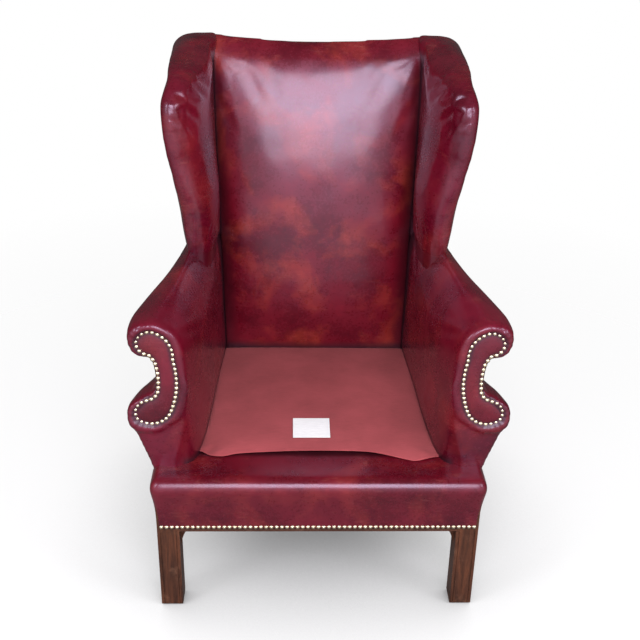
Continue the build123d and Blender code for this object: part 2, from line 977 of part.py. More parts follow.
with BuildPart() as above_rails:
    with BuildSketch(level(rail_top + hessian)):
        Rectangle(2 * seat_width, 4 * seat_width)
    extrude(amount=seat_width)

with BuildPart() as seat_pad:
    add(lip_form(under, arm_front - ease, hidden_low))
    add(deck_form(under, lip_round, hidden_low))
    add(above_rails.part, mode=Mode.INTERSECT)
    for part in [both(arm_room), back_room, front_edge_roll.part, back_hessian.part, back_tack_rail.part]:
        add(part, mode=Mode.SUBTRACT)
save(widest(seat_pad.part), "seat_pad")


def outside_zone(grow):
    """Where the outside arm leather lies: along the panel, from behind the front edge."""
    front = arm_cover_start - grow
    near = leather - arm_waist_in - arm_cover_tuck - grow
    points = [
        (rail_line(front) + near, deep(front)),
        (rail_line(rear_leg_face) + near, deep(rear_leg_face)),
        (rail_line(rear_leg_face) + near, deep(rear_reach + overrun)),
        (seat_width, deep(rear_reach + overrun)),
        (seat_width, deep(front)),
    ]
    with BuildPart() as zone:
        with BuildSketch(level(hidden_low)):
            make_face(outline(points, "LLLLL"))
        extrude(amount=rail_top + arm_rise * neck_shares[-1][1] + grow - arm_edge / 4 - hidden_low)
    return zone.part


arm_shell = less(
    within(arm_form(0, rail_top), rear_space(leather)),
    [arm_form(leather, rail_top)] + arm_frame + linings,
)

with BuildPart() as outside_arm_cover:
    add(within(arm_shell, outside_zone(0)))
    with BuildSketch(level(cover_hem)):
        make_face(
            outline(
                [
                    (rail_line(arm_front), deep(arm_front)),
                    (half_rear, deep(rear_leg_face)),
                    (half_rear, deep(rear_leg_back)),
                    (half_rear + leather, deep(rear_leg_back)),
                    (half_rear + leather, deep(rear_leg_face)),
                    (rail_line(arm_front) + leather, deep(arm_front)),
                ],
                "LLLLLL",
            )
        )
    extrude(amount=rail_top - cover_hem)
save_pair(outside_arm_cover.part, "outside_arm_cover")

facing_shares = [
    (0.863, 0.886),
    (0.803, 0.835),
    (0.65, 0.812),
    (0.556, 0.774),
    (0.513, 0.675),
    (0.538, 0.584),
    (0.624, 0.553),
    (0.761, 0.536),
    (0.957, 0.472),
    (0.906, 0.416),
    (0.615, 0.396),
    (0.325, 0.467),
    (0.197, 0.624),
    (0.239, 0.782),
    (0.325, 0.893),
    (0.564, 0.944),
    (0.761, 0.934),
]
facing_pattern = "ALAAAAAAA"
waist_front = rail_line(arm_front) + leather - arm_waist_in
nail_ring = [
    (
        arm_inner_front + (waist_front + arm_roll - arm_inner_front) * x,
        rail_top + arm_rise * z,
    )
    for x, z in facing_shares
]

with BuildPart() as arm_facing:
    with BuildSketch(upright(arm_front)):
        make_face(outline(inset(nail_ring, -nail_hem), facing_pattern))
    extrude(amount=facing_thick)
save_pair(arm_facing.part, "arm_facing")

with BuildPart() as inside_arm_cover:
    add(arm_shell)
    add(outside_zone(ease), mode=Mode.SUBTRACT)
    with BuildSketch(upright(arm_front + leather)):
        make_face(outline(inset(nail_ring, facing_lap), facing_pattern))
    extrude(amount=2 * leather, mode=Mode.SUBTRACT)
save_pair(widest(inside_arm_cover.part), "inside_arm_cover")

wing_shell = less(
    within(wing_form(0), rear_space(leather)),
    [wing_form(leather), arm_room] + wing_frame + linings,
)


def outside_wing_zone(grow):
    """Where the outside wing leather lies: behind the rolled front edge."""
    near = wing_thick / 8 + grow
    stations = []
    for rise, setback, front_draw, rear_draw, rear_roll in wing_station_shares[:-2]:
        height = wing_low + wing_rise * rise
        height += (grow - wing_edge) if rise == wing_station_shares[-3][0] else 0
        front = wing_front + wing_sweep * setback + wing_thick / 2 + wing_edge - grow
        outer = wing_outer - wing_flare * front_draw
        rear_outer = wing_rear_outer - wing_flare * rear_draw
        points = [
            (rear_outer - near, deep(rear_reach + overrun)),
            (outer - near, deep(front)),
            (outer + wing_thick, deep(front)),
            (outer + wing_thick, deep(rear_reach + overrun)),
        ]
        stations.append((level(height), points))
    return skin_through(stations, "LLLL")


save_pair(widest(within(wing_shell, outside_wing_zone(0))), "outside_wing_cover")
save_pair(widest(less(wing_shell, [outside_wing_zone(ease)])), "inside_wing_cover")

inside_back_cover = less(
    within(back_form(0, rail_top), rear_space(leather)),
    [back_form(leather, hidden_low), crest_rail.part, back_tack_rail.part] + linings,
)
save(widest(inside_back_cover), "inside_back_cover")

with BuildPart() as outside_back_cover:
    add(both(arm_form(0, rail_top)))
    add(both(wing_form(0)))
    add(back_form(0, rail_top))
    with BuildSketch(level(rail_top)):
        with Locations((0, deep(rear_reach))):
            Rectangle(2 * post_x, rear_reach)
    extrude(amount=crest_rail_low - rail_top)
    add(rear_space(0), mode=Mode.INTERSECT)
    add(rear_space(leather), mode=Mode.SUBTRACT)
    with BuildSketch(level(cover_hem)):
        with Locations((0, deep(rear_leg_back + leather / 2))):
            Rectangle(2 * (half_rear + leather), leather)
    extrude(amount=rail_top - cover_hem)
save(outside_back_cover.part, "outside_back_cover")


def span(start, stop):
    """All the room across the chair between two depths."""
    with BuildPart() as room:
        with BuildSketch(Plane.YZ.offset(-seat_width)):
            with Locations((deep((start + stop) / 2), 0)):
                Rectangle(stop - start, 4 * seat_width)
        extrude(amount=2 * seat_width)
    return room.part


with BuildPart() as seat_front_cover:
    add(lip_form(0, arm_front - ease / 2, cover_hem))
    add(deck_form(0, lip_round, rail_top))
    add(span(-overrun, deck_seam), mode=Mode.INTERSECT)
    add(lip_form(leather, arm_front + overrun, hidden_low), mode=Mode.SUBTRACT)
    add(deck_form(leather, lip_round, hidden_low), mode=Mode.SUBTRACT)
    for part in [both(arm_room), both(front_leg.part), front_seat_rail.part]:
        add(part, mode=Mode.SUBTRACT)
save(widest(seat_front_cover.part), "seat_front_cover")

with BuildPart() as deck_cloth:
    add(deck_form(0, lip_round, rail_top))
    add(deck_form(cloth, lip_round, hidden_low), mode=Mode.SUBTRACT)
    add(span(deck_seam, rear_reach), mode=Mode.INTERSECT)
    for part in [both(arm_room), back_room]:
        add(part, mode=Mode.SUBTRACT)
save(widest(deck_cloth.part), "deck_cloth")

with BuildPart() as deck_label:
    add(deck_form(-label_thick, lip_round, rail_top))
    add(deck_form(0, lip_round, hidden_low), mode=Mode.SUBTRACT)
    with BuildSketch(level(rail_top)):
        with Locations((label_shift, deep(label_place))):
            Rectangle(label_width, label_depth)
    extrude(amount=rail_top, mode=Mode.INTERSECT)
save(deck_label.part, "deck_label")

# Nails

nail_sphere = ((nail_head / 2) ** 2 + nail_dome**2) / (2 * nail_dome)

with BuildPart() as nail:
    with Locations((0, 0, nail_dome - nail_sphere)):
        Sphere(nail_sphere)
    split(bisect_by=Plane.XY, keep=Keep.TOP)
    with BuildSketch(Plane.XY):
        Circle(nail_shank / 2)
    extrude(amount=-nail_length)


def nail_row(plane, run, hem):
    """Nails in a straight row on a face, centred along it, at a height above the floor."""
    count = int(run / nail_pitch)
    with BuildPart() as nails:
        with Locations(*[plane.location * Location((x, hem, 0)) for x in row(count, run / count)]):
            add(nail.part)
    return nails.part


nail_height = cover_hem + nail_hem
front_run = seat_width - 2 * nail_hem
side_run = ((rear_leg_back - leg_size) ** 2 + (half_seat - half_rear) ** 2) ** 0.5
side_middle = (arm_front + rear_leg_face) / 2
side_plane = Plane(
    origin=(rail_line(side_middle) + leather, deep(side_middle), 0),
    x_dir=(-rail_slant, 1, 0),
    z_dir=(1, rail_slant, 0),
)
rear_plane = Plane(origin=(0, deep(rear_leg_back + leather), 0), x_dir=(-1, 0, 0), z_dir=(0, 1, 0))
front_plane = Plane(origin=(0, deep(-leather), 0), x_dir=(1, 0, 0), z_dir=(0, -1, 0))
with BuildPart() as seat_rail_nails:
    add(nail_row(front_plane, front_run, nail_height))
    add(both(nail_row(side_plane, rear_leg_face - arm_front - nail_head, nail_height)))
    add(nail_row(rear_plane, rear_width - nail_head, nail_height))
save(seat_rail_nails.part, "seat_rail_nails")

with BuildLine() as nail_path:
    add(outline(nail_ring, facing_pattern))
ring_wire = nail_path.wires()[0]
ring_count = int(ring_wire.length / nail_pitch)
with BuildPart() as facing_nails:
    with Locations(
        *[
            upright(arm_front - facing_thick).location * Location(ring_wire @ (place / ring_count))
            for place in range(ring_count)
        ]
    ):
        add(nail.part)
save_pair(facing_nails.part, "facing_nails")
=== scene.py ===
import math

import bpy
from mathutils import Matrix, Vector, noise


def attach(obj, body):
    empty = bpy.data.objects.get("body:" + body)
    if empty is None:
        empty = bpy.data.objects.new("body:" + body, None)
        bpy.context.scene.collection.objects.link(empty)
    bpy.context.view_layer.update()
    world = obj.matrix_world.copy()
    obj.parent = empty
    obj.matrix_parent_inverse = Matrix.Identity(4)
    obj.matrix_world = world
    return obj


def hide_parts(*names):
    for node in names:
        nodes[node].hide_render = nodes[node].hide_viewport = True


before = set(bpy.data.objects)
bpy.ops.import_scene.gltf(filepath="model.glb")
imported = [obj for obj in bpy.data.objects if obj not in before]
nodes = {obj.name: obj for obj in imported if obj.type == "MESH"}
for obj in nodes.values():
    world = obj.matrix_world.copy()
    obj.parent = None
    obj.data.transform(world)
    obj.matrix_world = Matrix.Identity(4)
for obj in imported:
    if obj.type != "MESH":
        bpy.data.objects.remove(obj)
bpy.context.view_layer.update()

# A wing armchair in red leather, without its loose seat cushion.
# Sizes are in millimetres: across, behind the front faces of the front legs, and up.

scene = bpy.context.scene

front_y = -380.26
rail_top = 292.0
hem = 215.0
cover_foot = 294
deck_level = 342.0
back_foot = 601
back_depth = 78.6
back_slope = 0.12
side_slope = 0.09622
hide_thick = 1.6
cotton_thick = 1.2

# Points along a hoop of the arm, and the frames in which the leather settles
arm_points = 76
settling_frames = 20


def at(across, deep, up):
    """A place in metres, from millimetres across, behind the front legs' faces and up."""
    return Vector((across / 1000, (deep + front_y) / 1000, up / 1000))


def deep_of(place):
    """How far behind the front legs' faces a place is, in millimetres."""
    return place.y * 1000 - front_y


def reading(table, key):
    """Smooth values between the rows of a table whose first column rises."""
    place = len(table) - 1
    for index in range(1, len(table)):
        if key <= table[index][0]:
            place = index
            break
    low = table[place - 1]
    high = table[place]
    before = table[max(place - 2, 0)]
    after = table[min(place + 1, len(table) - 1)]
    gap = high[0] - low[0]
    step = min(max((key - low[0]) / gap, 0), 1)
    values = []
    for column in range(1, len(low)):
        slope_in = (high[column] - before[column]) / (high[0] - before[0]) * gap
        slope_out = (after[column] - low[column]) / (after[0] - low[0]) * gap
        rise = high[column] - low[column]
        values.append(
            low[column] + slope_in * step
            + (3 * rise - 2 * slope_in - slope_out) * step**2
            + (slope_in + slope_out - 2 * rise) * step**3
        )
    return values


def ramp(value, low, high):
    """A soft step from 0 at low to 1 at high."""
    step = min(max((value - low) / (high - low), 0), 1)
    return step * step * (3 - 2 * step)


def smooth_run(points, count, closed=False):
    """Even steps along a smooth line through a few points."""
    points = [Vector(point) for point in points]
    if closed:
        run = [points[-1]] + points + points[:2]
    else:
        run = [points[0] * 2 - points[1]] + points + [points[-1] * 2 - points[-2]]
    fine = []
    for a, b, c, d in zip(run, run[1:], run[2:], run[3:]):
        for part in range(12):
            t = part / 12
            bend = (a * 2 - b * 5 + c * 4 - d) * t * t + (b * 3 - a - c * 3 + d) * t**3
            fine.append((b * 2 + (c - a) * t + bend) / 2)
    fine.append(points[0].copy() if closed else points[-1].copy())
    lengths = [0]
    for a, b in zip(fine, fine[1:]):
        lengths.append(lengths[-1] + (b - a).length)
    steps = count if closed else count - 1
    even = []
    place = 0
    for number in range(count):
        want = lengths[-1] * number / steps
        while place < len(fine) - 2 and lengths[place + 1] < want:
            place += 1
        share = (want - lengths[place]) / (lengths[place + 1] - lengths[place])
        even.append(fine[place].lerp(fine[place + 1], min(share, 1)))
    return even


# Modelling steps

def mode(name):
    """Goes to edit or object mode."""
    bpy.ops.object.mode_set(mode=name)


def select_none():
    """Deselects every object."""
    bpy.ops.object.select_all(action="DESELECT")


def alone(form):
    """Makes one object the only selected and active one."""
    select_none()
    form.select_set(True)
    bpy.context.view_layer.objects.active = form


def applied(form, kind, **settings):
    """Adds one modifier with its settings and applies it."""
    modifier = form.modifiers.new(kind.lower(), kind)
    for name, value in settings.items():
        setattr(modifier, name, value)
    alone(form)
    bpy.ops.object.modifier_apply(modifier=modifier.name)


def skin(name, hoops, capped=True, looped=False):
    """Extrudes a hoop from station to station, as a cover is pulled over its stuffing."""
    select_none()
    bpy.ops.mesh.primitive_circle_add(vertices=len(hoops[0]), radius=1, location=(0, 0, 0))
    form = bpy.context.object
    form.name = name
    mesh = form.data
    here = list(range(len(hoops[0])))
    first = list(here)
    for index, place in zip(here, hoops[0]):
        mesh.vertices[index].co = place
    for hoop in hoops[1:]:
        mode("EDIT")
        bpy.ops.mesh.extrude_region_move()
        mode("OBJECT")
        old = {tuple(mesh.vertices[index].co): number for number, index in enumerate(here)}
        fresh = [vertex.index for vertex in mesh.vertices if vertex.select]
        here = sorted(fresh, key=lambda index: old[tuple(mesh.vertices[index].co)])
        for index, place in zip(here, hoop):
            mesh.vertices[index].co = place
    if capped:
        for ring in (here, first):
            mode("EDIT")
            bpy.ops.mesh.select_all(action="DESELECT")
            mode("OBJECT")
            for index in ring:
                mesh.vertices[index].select = True
            mode("EDIT")
            bpy.ops.mesh.edge_face_add()
            mode("OBJECT")
    mode("EDIT")
    bpy.ops.mesh.select_all(action="SELECT")
    if looped:
        bpy.ops.mesh.remove_doubles(threshold=0.00001)
    bpy.ops.mesh.normals_make_consistent(inside=False)
    mode("OBJECT")
    return form


def sheet_of(name, across, along, place_of):
    """Lays a grid over a surface: place_of gives the place for shares across and along it."""
    select_none()
    bpy.ops.mesh.primitive_grid_add(x_subdivisions=across, y_subdivisions=along, size=2, location=(0, 0, 0))
    form = bpy.context.object
    form.name = name
    for vertex in form.data.vertices:
        vertex.co = place_of((vertex.co.x + 1) / 2, (vertex.co.y + 1) / 2)
    return form


def turned_out(form, outward):
    """Turns a sheet's faces so that they point along a direction."""
    total = Vector((0, 0, 0))
    for face in form.data.polygons:
        total += face.normal * face.area
    if total.dot(Vector(outward)) < 0:
        alone(form)
        mode("EDIT")
        bpy.ops.mesh.select_all(action="SELECT")
        bpy.ops.mesh.flip_normals()
        mode("OBJECT")


def thickened(form, thickness):
    """Gives a sheet its thickness on the inner side."""
    applied(form, "SOLIDIFY", thickness=thickness / 1000, offset=-1, use_even_offset=True)


def joined(forms):
    """Joins forms to one object."""
    select_none()
    for form in forms:
        form.select_set(True)
    bpy.context.view_layer.objects.active = forms[0]
    if len(forms) > 1:
        bpy.ops.object.join()
    return bpy.context.object


def fused(forms, voxel, rounds):
    """Joins overlapping forms into one skin and eases its corners."""
    form = joined(forms)
    applied(form, "REMESH", mode="VOXEL", voxel_size=voxel / 1000)
    applied(form, "SMOOTH", factor=0.5, iterations=rounds)
    return form


def stuffed(form, pressure, most, held):
    """Swells a form by cloth simulation. Points where held is true stay tacked down."""
    rest = [vertex.co.copy() for vertex in form.data.vertices]
    tacks = form.vertex_groups.new(name="tacks")
    tacks.add([index for index, place in enumerate(rest) if held(place)], 1.0, "REPLACE")
    alone(form)
    modifier = form.modifiers.new("leather", "CLOTH")
    cloth = modifier.settings
    cloth_values = {
        "quality": 4, "mass": 0.3, "tension_stiffness": 15, "compression_stiffness": 15, "shear_stiffness": 5,
        "bending_stiffness": 4, "use_pressure": True, "uniform_pressure_force": pressure,
    }
    for name, value in cloth_values.items():
        setattr(cloth, name, value)
    cloth.effector_weights.gravity = 0
    cloth.vertex_group_mass = tacks.name
    modifier.collision_settings.use_collision = False
    modifier.collision_settings.use_self_collision = False
    modifier.point_cache.frame_start = 1
    modifier.point_cache.frame_end = settling_frames
    for frame_number in range(1, settling_frames + 1):
        scene.frame_set(frame_number)
    bpy.ops.object.modifier_apply(modifier=modifier.name)
    scene.frame_set(1)
    for vertex, place in zip(form.data.vertices, rest):
        move = vertex.co - place
        if move.length > most / 1000:
            vertex.co = place + move.normalized() * (most / 1000)
    form.vertex_groups.clear()
    applied(form, "SMOOTH", factor=0.5, iterations=2)


def fold(place, start, end, width, height):
    """How much a drag line or fold from start to end lifts the leather at a place."""
    run = end - start
    share = min(max((place - start).dot(run) / run.length_squared, 0), 1)
    gap = (place - start - run * share).length * 1000
    fade = math.sin(math.pi * min(share * 1.6 + 0.12, 1)) ** 0.7 if share < 1 else 0
    return height * math.exp(-((gap / width) ** 2)) * fade


def folded(place, folds, lift):
    """Adds every fold of a list to the lift of a place."""
    for line in folds:
        lift += fold(place, *line)
    return lift


def dressed(form, lift):
    """Moves each point along its normal by lift, in millimetres, a function of its place."""
    normals = [vertex.normal.copy() for vertex in form.data.vertices]
    for vertex, normal in zip(form.data.vertices, normals):
        vertex.co += normal * (lift(vertex.co) / 1000)


def shaded(form, painted_shade_of):
    """Stores how deep in a seam or fold each point lies, as painted shade that darkens the colour there."""
    layer = form.data.attributes.new("painted_shade", "FLOAT", "POINT")
    layer.data.foreach_set("value", [min(max(painted_shade_of(v.co), 0), 1) for v in form.data.vertices])


def softened(form, levels=1):
    """One more subdivision and smooth shading."""
    if levels:
        applied(form, "SUBSURF", levels=levels, render_levels=levels)
    alone(form)
    bpy.ops.object.shade_smooth()


def mirrored(form, name):
    """The same piece for the left side, with its own mesh."""
    other = form.copy()
    other.data = form.data.copy()
    other.name = name
    scene.collection.objects.link(other)
    other.data.transform(Matrix.Scale(-1, 4, (1, 0, 0)))
    other.data.flip_normals()
    return other


# Materials

def add_node(tree, kind, values=None, **settings):
    """Adds a shader node and sets or links its sockets."""
    item = tree.nodes.new(kind)
    for name, value in settings.items():
        setattr(item, name, value)
    for socket, value in (values or {}).items():
        if isinstance(value, bpy.types.NodeSocket):
            tree.links.new(value, item.inputs[socket])
        else:
            item.inputs[socket].default_value = value
    return item


def effect(name, inputs, outputs):
    """Starts a shader node group and returns it with its inner ends."""
    group = bpy.data.node_groups.new(name, "ShaderNodeTree")
    for way, sockets in (("INPUT", inputs), ("OUTPUT", outputs)):
        for socket, kind in sockets.items():
            group.interface.new_socket(name=socket, in_out=way, socket_type="NodeSocket" + kind)
    return group, group.nodes.new("NodeGroupInput").outputs, group.nodes.new("NodeGroupOutput").inputs


def spread(tree, value, low, high, start=0.0, end=1.0):
    """Maps a value from one range to another and stops at its ends."""
    values = {"Value": value, "From Min": low, "From Max": high, "To Min": start, "To Max": end}
    return add_node(tree, "ShaderNodeMapRange", values, clamp=True).outputs[0]


def blended(tree, factor, first, second, way="MIX"):
    """Mixes two colours."""
    values = {0: factor, 6: first, 7: second}
    return add_node(tree, "ShaderNodeMix", values, data_type="RGBA", blend_type=way).outputs[2]


def sum_of(tree, first, second, way="ADD"):
    """Puts two values together."""
    return add_node(tree, "ShaderNodeMath", {0: first, 1: second}, operation=way).outputs[0]


def times(tree, first, second):
    """Multiplies two values."""
    return sum_of(tree, first, second, "MULTIPLY")


def dimmed(tree, base, value):
    """Multiplies a colour by a value."""
    tint = add_node(tree, "ShaderNodeCombineColor", {0: value, 1: value, 2: value})
    return blended(tree, 1.0, base, tint.outputs[0], "MULTIPLY")


def noise_of(tree, place, scale, detail, roughness=0.5, distortion=0.0):
    """Noise over a place."""
    values = {
        "Vector": place, "Scale": scale, "Detail": detail, "Roughness": roughness, "Distortion": distortion,
    }
    return add_node(tree, "ShaderNodeTexNoise", values).outputs["Fac"]


def moved_place(tree, place, **values):
    """A place that is shifted, turned or stretched."""
    return add_node(tree, "ShaderNodeMapping", {"Vector": place, **values}).outputs[0]


def hide_effect():
    """Waxed hide: mottled colour, gloss, and a height of fine grain and slack creases, with painted shade
    from its shade input darkening seams and creases.
    """
    group, given, out = effect(
        "waxed_hide",
        {
            "Place": "Vector", "Dark": "Color", "Red": "Color", "Rubbed": "Color", "Rubbed Share": "Float",
            "Painted Shade": "Float",
        },
        {"Color": "Color", "Gloss": "Float", "Height": "Float"},
    )
    place = given["Place"]
    cloud = noise_of(group, place, 6.5, 6, 0.62)
    flame = noise_of(group, place, 8.5, 5, 0.58, 0.4)
    fleck = noise_of(group, place, 130, 4, 0.6)
    base = blended(group, spread(group, cloud, 0.34, 0.66), given["Dark"], given["Red"])
    rub = times(group, spread(group, flame, 0.5, 0.84), given["Rubbed Share"])
    base = blended(group, rub, base, given["Rubbed"])
    drawn = moved_place(group, place, Rotation=(0.3, 0.5, 0.2), Scale=(16, 16, 150))
    scuff = spread(group, noise_of(group, drawn, 2.2, 5, distortion=0.6), 0.58, 0.78, 0, 0.3)
    scuff = times(group, scuff, spread(group, flame, 0.4, 0.6))
    base = blended(group, times(group, scuff, given["Rubbed Share"]), base, (0.5, 0.16, 0.13, 1))
    base = dimmed(group, base, spread(group, fleck, 0.35, 0.7, 0.9, 1.07))
    # Painted shade: the shade input darkens seams and creases towards near black.
    base = blended(group, times(group, given["Painted Shade"], 0.93), base, (0.012, 0.0006, 0.0012, 1))
    group.links.new(base, out["Color"])
    gloss = spread(group, cloud, 0.3, 0.7, 0.2, 0.34)
    gloss = sum_of(group, gloss, spread(group, fleck, 0.3, 0.7, -0.03, 0.05))
    gloss = sum_of(group, gloss, times(group, given["Painted Shade"], 0.3))
    group.links.new(gloss, out["Gloss"])
    values = {"Vector": place, "Scale": 620}
    pore = add_node(group, "ShaderNodeTexVoronoi", values, feature="DISTANCE_TO_EDGE").outputs["Distance"]
    grain = spread(group, pore, 0.0, 0.25, 0.0, 0.12)
    group.links.new(sum_of(group, grain, noise_of(group, place, 34, 3, 0.5, 0.8)), out["Height"])
    return group


def weave_effect():
    """Plain cotton: threads over and under each other, with slubs and faded places, and painted shade from
    its shade input.
    """
    group, given, out = effect(
        "plain_weave",
        {"Place": "Vector", "Cloth": "Color", "Faded": "Color", "Threads": "Float", "Painted Shade": "Float"},
        {"Color": "Color", "Height": "Float"},
    )
    place = given["Place"]
    values = {"Vector": place, "Scale": given["Threads"], "Distortion": 0.6, "Detail": 1}
    warp = add_node(group, "ShaderNodeTexWave", values, bands_direction="X")
    weft = add_node(group, "ShaderNodeTexWave", values, bands_direction="Y")
    threads = times(group, warp.outputs["Fac"], weft.outputs["Fac"])
    cloud = noise_of(group, place, 7, 5, 0.6)
    slub = noise_of(group, moved_place(group, place, Scale=(6, 60, 6)), 9, 4)
    base = blended(group, spread(group, cloud, 0.36, 0.66), given["Cloth"], given["Faded"])
    line = times(group, spread(group, slub, 0.35, 0.7, 0.93, 1.05), spread(group, threads, 0, 1, 0.92, 1.03))
    base = dimmed(group, base, line)
    # Painted shade: the shade input darkens the cloth where it tucks out of the light.
    base = blended(group, times(group, given["Painted Shade"], 0.85), base, (0.02, 0.002, 0.003, 1))
    group.links.new(base, out["Color"])
    group.links.new(sum_of(group, threads, times(group, cloud, 0.7)), out["Height"])
    return group


def grain_effect():
    """Long wood grain along Z, with pores and darker bands."""
    group, given, out = effect(
        "wood_grain",
        {"Place": "Vector", "Early": "Color", "Late": "Color", "Worn": "Color"},
        {"Color": "Color", "Gloss": "Float", "Height": "Float"},
    )
    drawn = moved_place(group, given["Place"], Scale=(1, 1, 0.09))
    band = noise_of(group, drawn, 75, 6, 0.65, 0.7)
    base = blended(group, spread(group, band, 0.34, 0.66), given["Late"], given["Early"])
    worn = spread(group, noise_of(group, given["Place"], 28, 5, 0.7), 0.55, 0.75, 0, 0.6)
    base = blended(group, worn, base, given["Worn"])
    fine = spread(group, noise_of(group, drawn, 900, 2), 0.3, 0.5, 0.7, 1)
    group.links.new(dimmed(group, base, fine), out["Color"])
    group.links.new(spread(group, band, 0.3, 0.7, 0.4, 0.28), out["Gloss"])
    group.links.new(sum_of(group, fine, band), out["Height"])
    return group


hide = hide_effect()
weave = weave_effect()
wood = grain_effect()


def new_material(name):
    """A material with its tree, its Principled shader and the object's own coordinates."""
    material = bpy.data.materials.new(name)
    material.use_nodes = True
    tree = material.node_tree
    shader = tree.nodes["Principled BSDF"]
    place = tree.nodes.new("ShaderNodeTexCoord").outputs["Object"]
    return material, tree, shader, place


def bumped(tree, shader, height, strength, distance):
    """Feeds a height to the shader's normal."""
    bump = add_node(tree, "ShaderNodeBump", {"Height": height, "Strength": strength, "Distance": distance})
    tree.links.new(bump.outputs[0], shader.inputs["Normal"])


def finish(name, base, own, constants, strength, distance, **moved):
    """A material from one effect: the effect's own values, and the constant ones of its shader."""
    material, tree, shader, place = new_material(name)
    values = {"Place": moved_place(tree, place, **moved) if moved else place}
    for socket, value in own.items():
        values[socket] = (*value, 1) if isinstance(value, tuple) else value
    group = add_node(tree, "ShaderNodeGroup", values, node_tree=base)
    # The piece's stored painted shade darkens its seams and creases.
    if "Painted Shade" in group.inputs:
        painted_shade = add_node(tree, "ShaderNodeAttribute", attribute_name="painted_shade")
        tree.links.new(painted_shade.outputs["Fac"], group.inputs["Painted Shade"])
    tree.links.new(group.outputs["Color"], shader.inputs["Base Color"])
    if "Gloss" in group.outputs:
        tree.links.new(group.outputs["Gloss"], shader.inputs["Roughness"])
    for socket, value in constants.items():
        shader.inputs[socket].default_value = value
    bumped(tree, shader, group.outputs["Height"], strength, distance)
    return material


def leather_finish(name, dark, red, rubbed, share, shift):
    """Antiqued red leather, with painted shade in its hollows."""
    constants = {
        "IOR": 1.5, "Specular IOR Level": 0.6, "Specular Tint": (0.84, 0.66, 1, 1),
        "Coat Weight": 0.4, "Coat Roughness": 0.17,
    }
    own = {"Dark": dark, "Red": red, "Rubbed": rubbed, "Rubbed Share": share}
    return finish(name, hide, own, constants, 0.25, 0.001, Location=shift)


def cloth_finish(name, cloth, faded, threads, rough, sheen):
    """A woven cloth."""
    own = {"Cloth": cloth, "Faded": faded, "Threads": threads}
    return finish(name, weave, own, {"Roughness": rough, "Sheen Weight": sheen}, 0.25, 0.0006)


def wood_finish(name, early, late, worn, turned=(0, 0, 0), coat=0.08):
    """A polished or plain wood."""
    constants = {"Specular IOR Level": 0.3, "Coat Weight": coat, "Coat Roughness": 0.25}
    own = {"Early": early, "Late": late, "Worn": worn}
    return finish(name, wood, own, constants, 0.3, 0.0005, Rotation=turned)


def metal_finish(name, bright, tarnish, rough):
    """Metal with a little tarnish."""
    material, tree, shader, place = new_material(name)
    spots = noise_of(tree, place, 260, 4, 0.6)
    mask = spread(tree, spots, 0.5, 0.72, 0, 0.8)
    tree.links.new(blended(tree, mask, (*bright, 1), (*tarnish, 1)), shader.inputs["Base Color"])
    tree.links.new(spread(tree, spots, 0.3, 0.7, rough, rough + 0.2), shader.inputs["Roughness"])
    shader.inputs["Metallic"].default_value = 1.0
    bumped(tree, shader, spots, 0.15, 0.0003)
    return material


oxblood = leather_finish(
    "oxblood_leather", (0.055, 0.0008, 0.006), (0.13, 0.002, 0.012), (0.28, 0.022, 0.016), 0.5, (0, 0.5, 0.3),
)
back_red = leather_finish(
    "back_leather", (0.07, 0.001, 0.006), (0.17, 0.004, 0.013), (0.4, 0.048, 0.023), 0.8, (0.3, 0.1, 0.2),
)
seat_red = leather_finish(
    "seat_leather", (0.055, 0.001, 0.005), (0.125, 0.003, 0.01), (0.27, 0.026, 0.018), 0.6, (0.7, 0.4, 0.1),
)
facing_red = leather_finish(
    "facing_leather", (0.055, 0.001, 0.004), (0.13, 0.002, 0.009), (0.25, 0.02, 0.015), 0.4, (0.1, 0.9, 0.5),
)
cotton = cloth_finish("salmon_cotton", (0.28, 0.042, 0.05), (0.37, 0.06, 0.07), 620, 0.95, 0.04)
cambric = cloth_finish("black_cambric", (0.008, 0.008, 0.009), (0.014, 0.014, 0.015), 700, 0.9, 0.1)
sacking = cloth_finish("hessian_cloth", (0.2, 0.13, 0.07), (0.28, 0.19, 0.11), 260, 0.95, 0.1)
strap_cloth = cloth_finish("webbing_cloth", (0.22, 0.18, 0.13), (0.3, 0.26, 0.2), 330, 0.9, 0.1)
felt = cloth_finish("stuffing_felt", (0.55, 0.5, 0.42), (0.68, 0.63, 0.55), 120, 1.0, 0.2)
tab_cloth = cloth_finish("tab_cloth", (0.78, 0.78, 0.8), (0.86, 0.86, 0.87), 900, 0.8, 0.1)
mahogany = wood_finish("mahogany_wood", (0.105, 0.034, 0.016), (0.034, 0.012, 0.007), (0.16, 0.07, 0.04))
stain = ((0.09, 0.032, 0.018), (0.035, 0.013, 0.009), (0.13, 0.06, 0.04))
rail_stain = wood_finish("stained_rail", *stain, (0, math.pi / 2, 0))
side_stain = wood_finish("stained_side_rail", *stain, (math.pi / 2, 0, 0))
beech = wood_finish("beech_wood", (0.5, 0.33, 0.19), (0.38, 0.23, 0.12), (0.55, 0.4, 0.26), coat=0.0)
brass = metal_finish("worn_brass", (0.84, 0.74, 0.55), (0.38, 0.29, 0.16), 0.22)
steel = metal_finish("spring_steel", (0.5, 0.5, 0.52), (0.2, 0.17, 0.15), 0.35)

carried = {
    mahogany: ["front_leg", "front_leg_bracket", "rear_leg"],
    rail_stain: ["front_seat_rail", "rear_seat_rail"],
    side_stain: ["side_seat_rail"],
    beech: [
        "front_corner_blocks", "rear_corner_blocks",
        "back_post", "crest_rail", "back_tack_rail", "arm_stump", "arm_rail", "arm_tack_rail", "wing_post",
        "wing_rail",
    ],
    brass: ["facing_nails", "seat_rail_nails"],
    steel: ["corner_block_screws", "seat_springs"],
    strap_cloth: ["seat_webbing", "back_webbing"],
    sacking: ["seat_hessian", "back_hessian"],
    felt: ["front_edge_roll"],
    cambric: ["dust_cover"],
    tab_cloth: ["deck_label"],
}
for material, names in carried.items():
    for name in names:
        for node in (name, name + "_left", name + "_right"):
            if node in nodes:
                nodes[node].data.materials.clear()
                nodes[node].data.materials.append(material)


